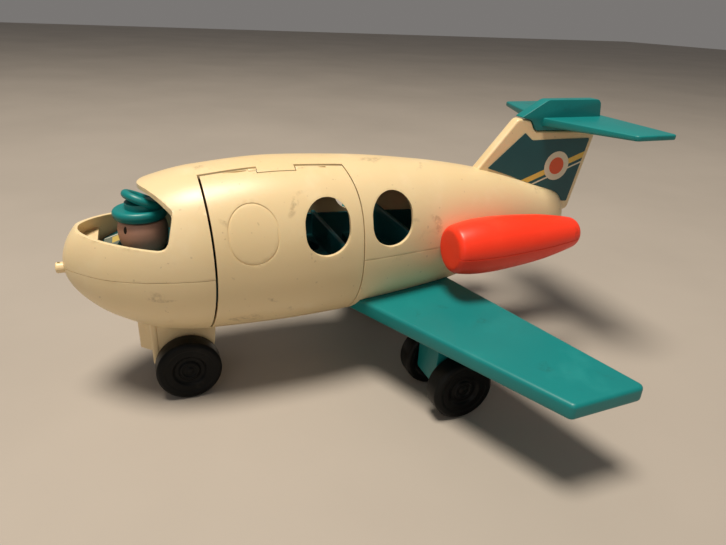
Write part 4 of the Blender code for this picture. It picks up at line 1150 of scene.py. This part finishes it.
def make_steel_parts():
    """Axles, the hinge pin and pan head screws with a cross recess."""
    for node, body in (
        ("nose_axle", "nose_gear"), ("main_axle_port", "main_gear_port"),
        ("main_axle_starboard", "main_gear_starboard"),
    ):
        low, high = node_box(node)
        profile = (
            (low[0], 0), (low[0], AXLE_RADIUS), (high[0], AXLE_RADIUS), (high[0], 0),
        )
        centre = (0, (low[1] + high[1]) / 2, WHEEL_RADIUS)
        axle = turned(rounded_profile(profile, 0.4), centre, "X", 48)
        stands_for(shade(axle), f"{node}_rod", node, body, STEEL)
    low, high = node_box("door_hinge_pin")
    profile = ((low[1], 0), (low[1], 0.5), (high[1], 0.5), (high[1], 0))
    pin = turned(rounded_profile(profile, 0.15), (HINGE_X, 0, HINGE_Z), "Y", 24)
    stands_for(shade(pin), "hinge_pin_rod", "door_hinge_pin", "airframe", STEEL)
    for group, screws in (("shell", SHELL_SCREWS), ("wing", WING_SCREWS)):
        for word, x, y, head_z in screws:
            node = f"{group}_screw_{word}"
            tip_z = node_box(node)[1][2]
            make_screw(node, x, y, head_z, tip_z)


def make_screw(node, x, y, head_z, tip_z):
    r, head = SCREW_RADIUS, SCREW_HEAD_RADIUS
    profile = (
        (head_z, 0), (head_z, head - 0.9), (head_z + 0.8, head), (head_z + SCREW_HEAD_HEIGHT, head),
        (head_z + SCREW_HEAD_HEIGHT, r), (tip_z - 2, r), (tip_z, 0.4), (tip_z, 0),
    )
    screw = turned(rounded_profile(profile, 0.3), (x, y, 0), "Z", 48)
    for span in ((1.5, 0.35), (0.35, 1.5)):
        slot = box(
            (x - span[0], x + span[0]), (y - span[1], y + span[1]), (head_z - 1, head_z + 0.9)
        )
        cut(screw, slot)
    stands_for(shade(screw), f"{node}_turned", node, "airframe", STEEL)


# ---------------------------------------------------------------- stage

def make_stage():
    bm = bmesh.new()
    bmesh.ops.create_grid(bm, x_segments=1, y_segments=1, size=6000)
    floor = object_from(bm, "floor")
    n = Nodes("pale floor")
    tone = n.ramp(n.noise(3, 4), (0.3, (0.36, 0.325, 0.285)), (0.7, (0.41, 0.37, 0.325)))
    floor.data.materials.append(n.finish(tone, 0.7, n.bump(n.noise(300, 3), 0.05, 0.0005)))


def make_light(name, place, target, size, power, colour):
    data = bpy.data.lights.new(name, "AREA")
    data.shape = "DISK"
    data.size = size
    data.energy = power
    data.color = colour
    lamp = bpy.data.objects.new(name, data)
    lamp.location = place
    lamp.rotation_mode = "QUATERNION"
    lamp.rotation_quaternion = (Vector(target) - Vector(place)).to_track_quat("-Z", "Y")
    bpy.context.scene.collection.objects.link(lamp)


def make_lights():
    middle = (0, 0, 0.08)
    make_light("key", (0.24, -0.40, 2.35), middle, 0.84, 71, (1.0, 0.90, 0.77))
    make_light("fill", (1.3, -0.8, 0.7), middle, 1.0, 1.8, (1.0, 0.94, 0.88))
    world = bpy.data.worlds.new("studio")
    world.use_nodes = True
    background = world.node_tree.nodes["Background"]
    background.inputs["Color"].default_value = (0.80, 0.76, 0.73, 1)
    background.inputs["Strength"].default_value = 0.24
    bpy.context.scene.world = world


def make_camera():
    """Look from the port bow, a little above, with the camera leaning slightly."""
    azimuth, elevation, roll = (math.radians(a) for a in (68.0, 24.6, 2.6))
    target, distance = Vector((4.7, 0.6, 62.3)) * MM, 391.5 * MM
    back = Vector((
        math.sin(azimuth) * math.cos(elevation), -math.cos(azimuth) * math.cos(elevation),
        math.sin(elevation),
    ))
    right = Vector((0, 0, 1)).cross(back).normalized()
    up = back.cross(right)
    leaned = right * math.cos(roll) + up * math.sin(roll)
    data = bpy.data.cameras.new("camera")
    data.sensor_width = 36
    data.lens = 28.31
    data.clip_start, data.clip_end = 0.01, 20
    camera = bpy.data.objects.new("camera", data)
    axes = Matrix((leaned, back.cross(leaned), back)).transposed()
    camera.matrix_world = Matrix.Translation(target + back * distance) @ axes.to_4x4()
    bpy.context.scene.collection.objects.link(camera)
    bpy.context.scene.camera = camera


make_camera()
make_lights()
make_stage()
make_upper_shell()
make_lower_shell()
make_door()
make_wing()
make_stabilizer()
for SIDE in (1, -1):
    make_engine(SIDE)
    make_fin_decal(SIDE)
make_wheels()
make_seat_deck()
make_cockpit_insert()
make_pilot()
make_tow_peg()
make_steel_parts()

bpy.context.scene.view_settings.view_transform = "Standard"
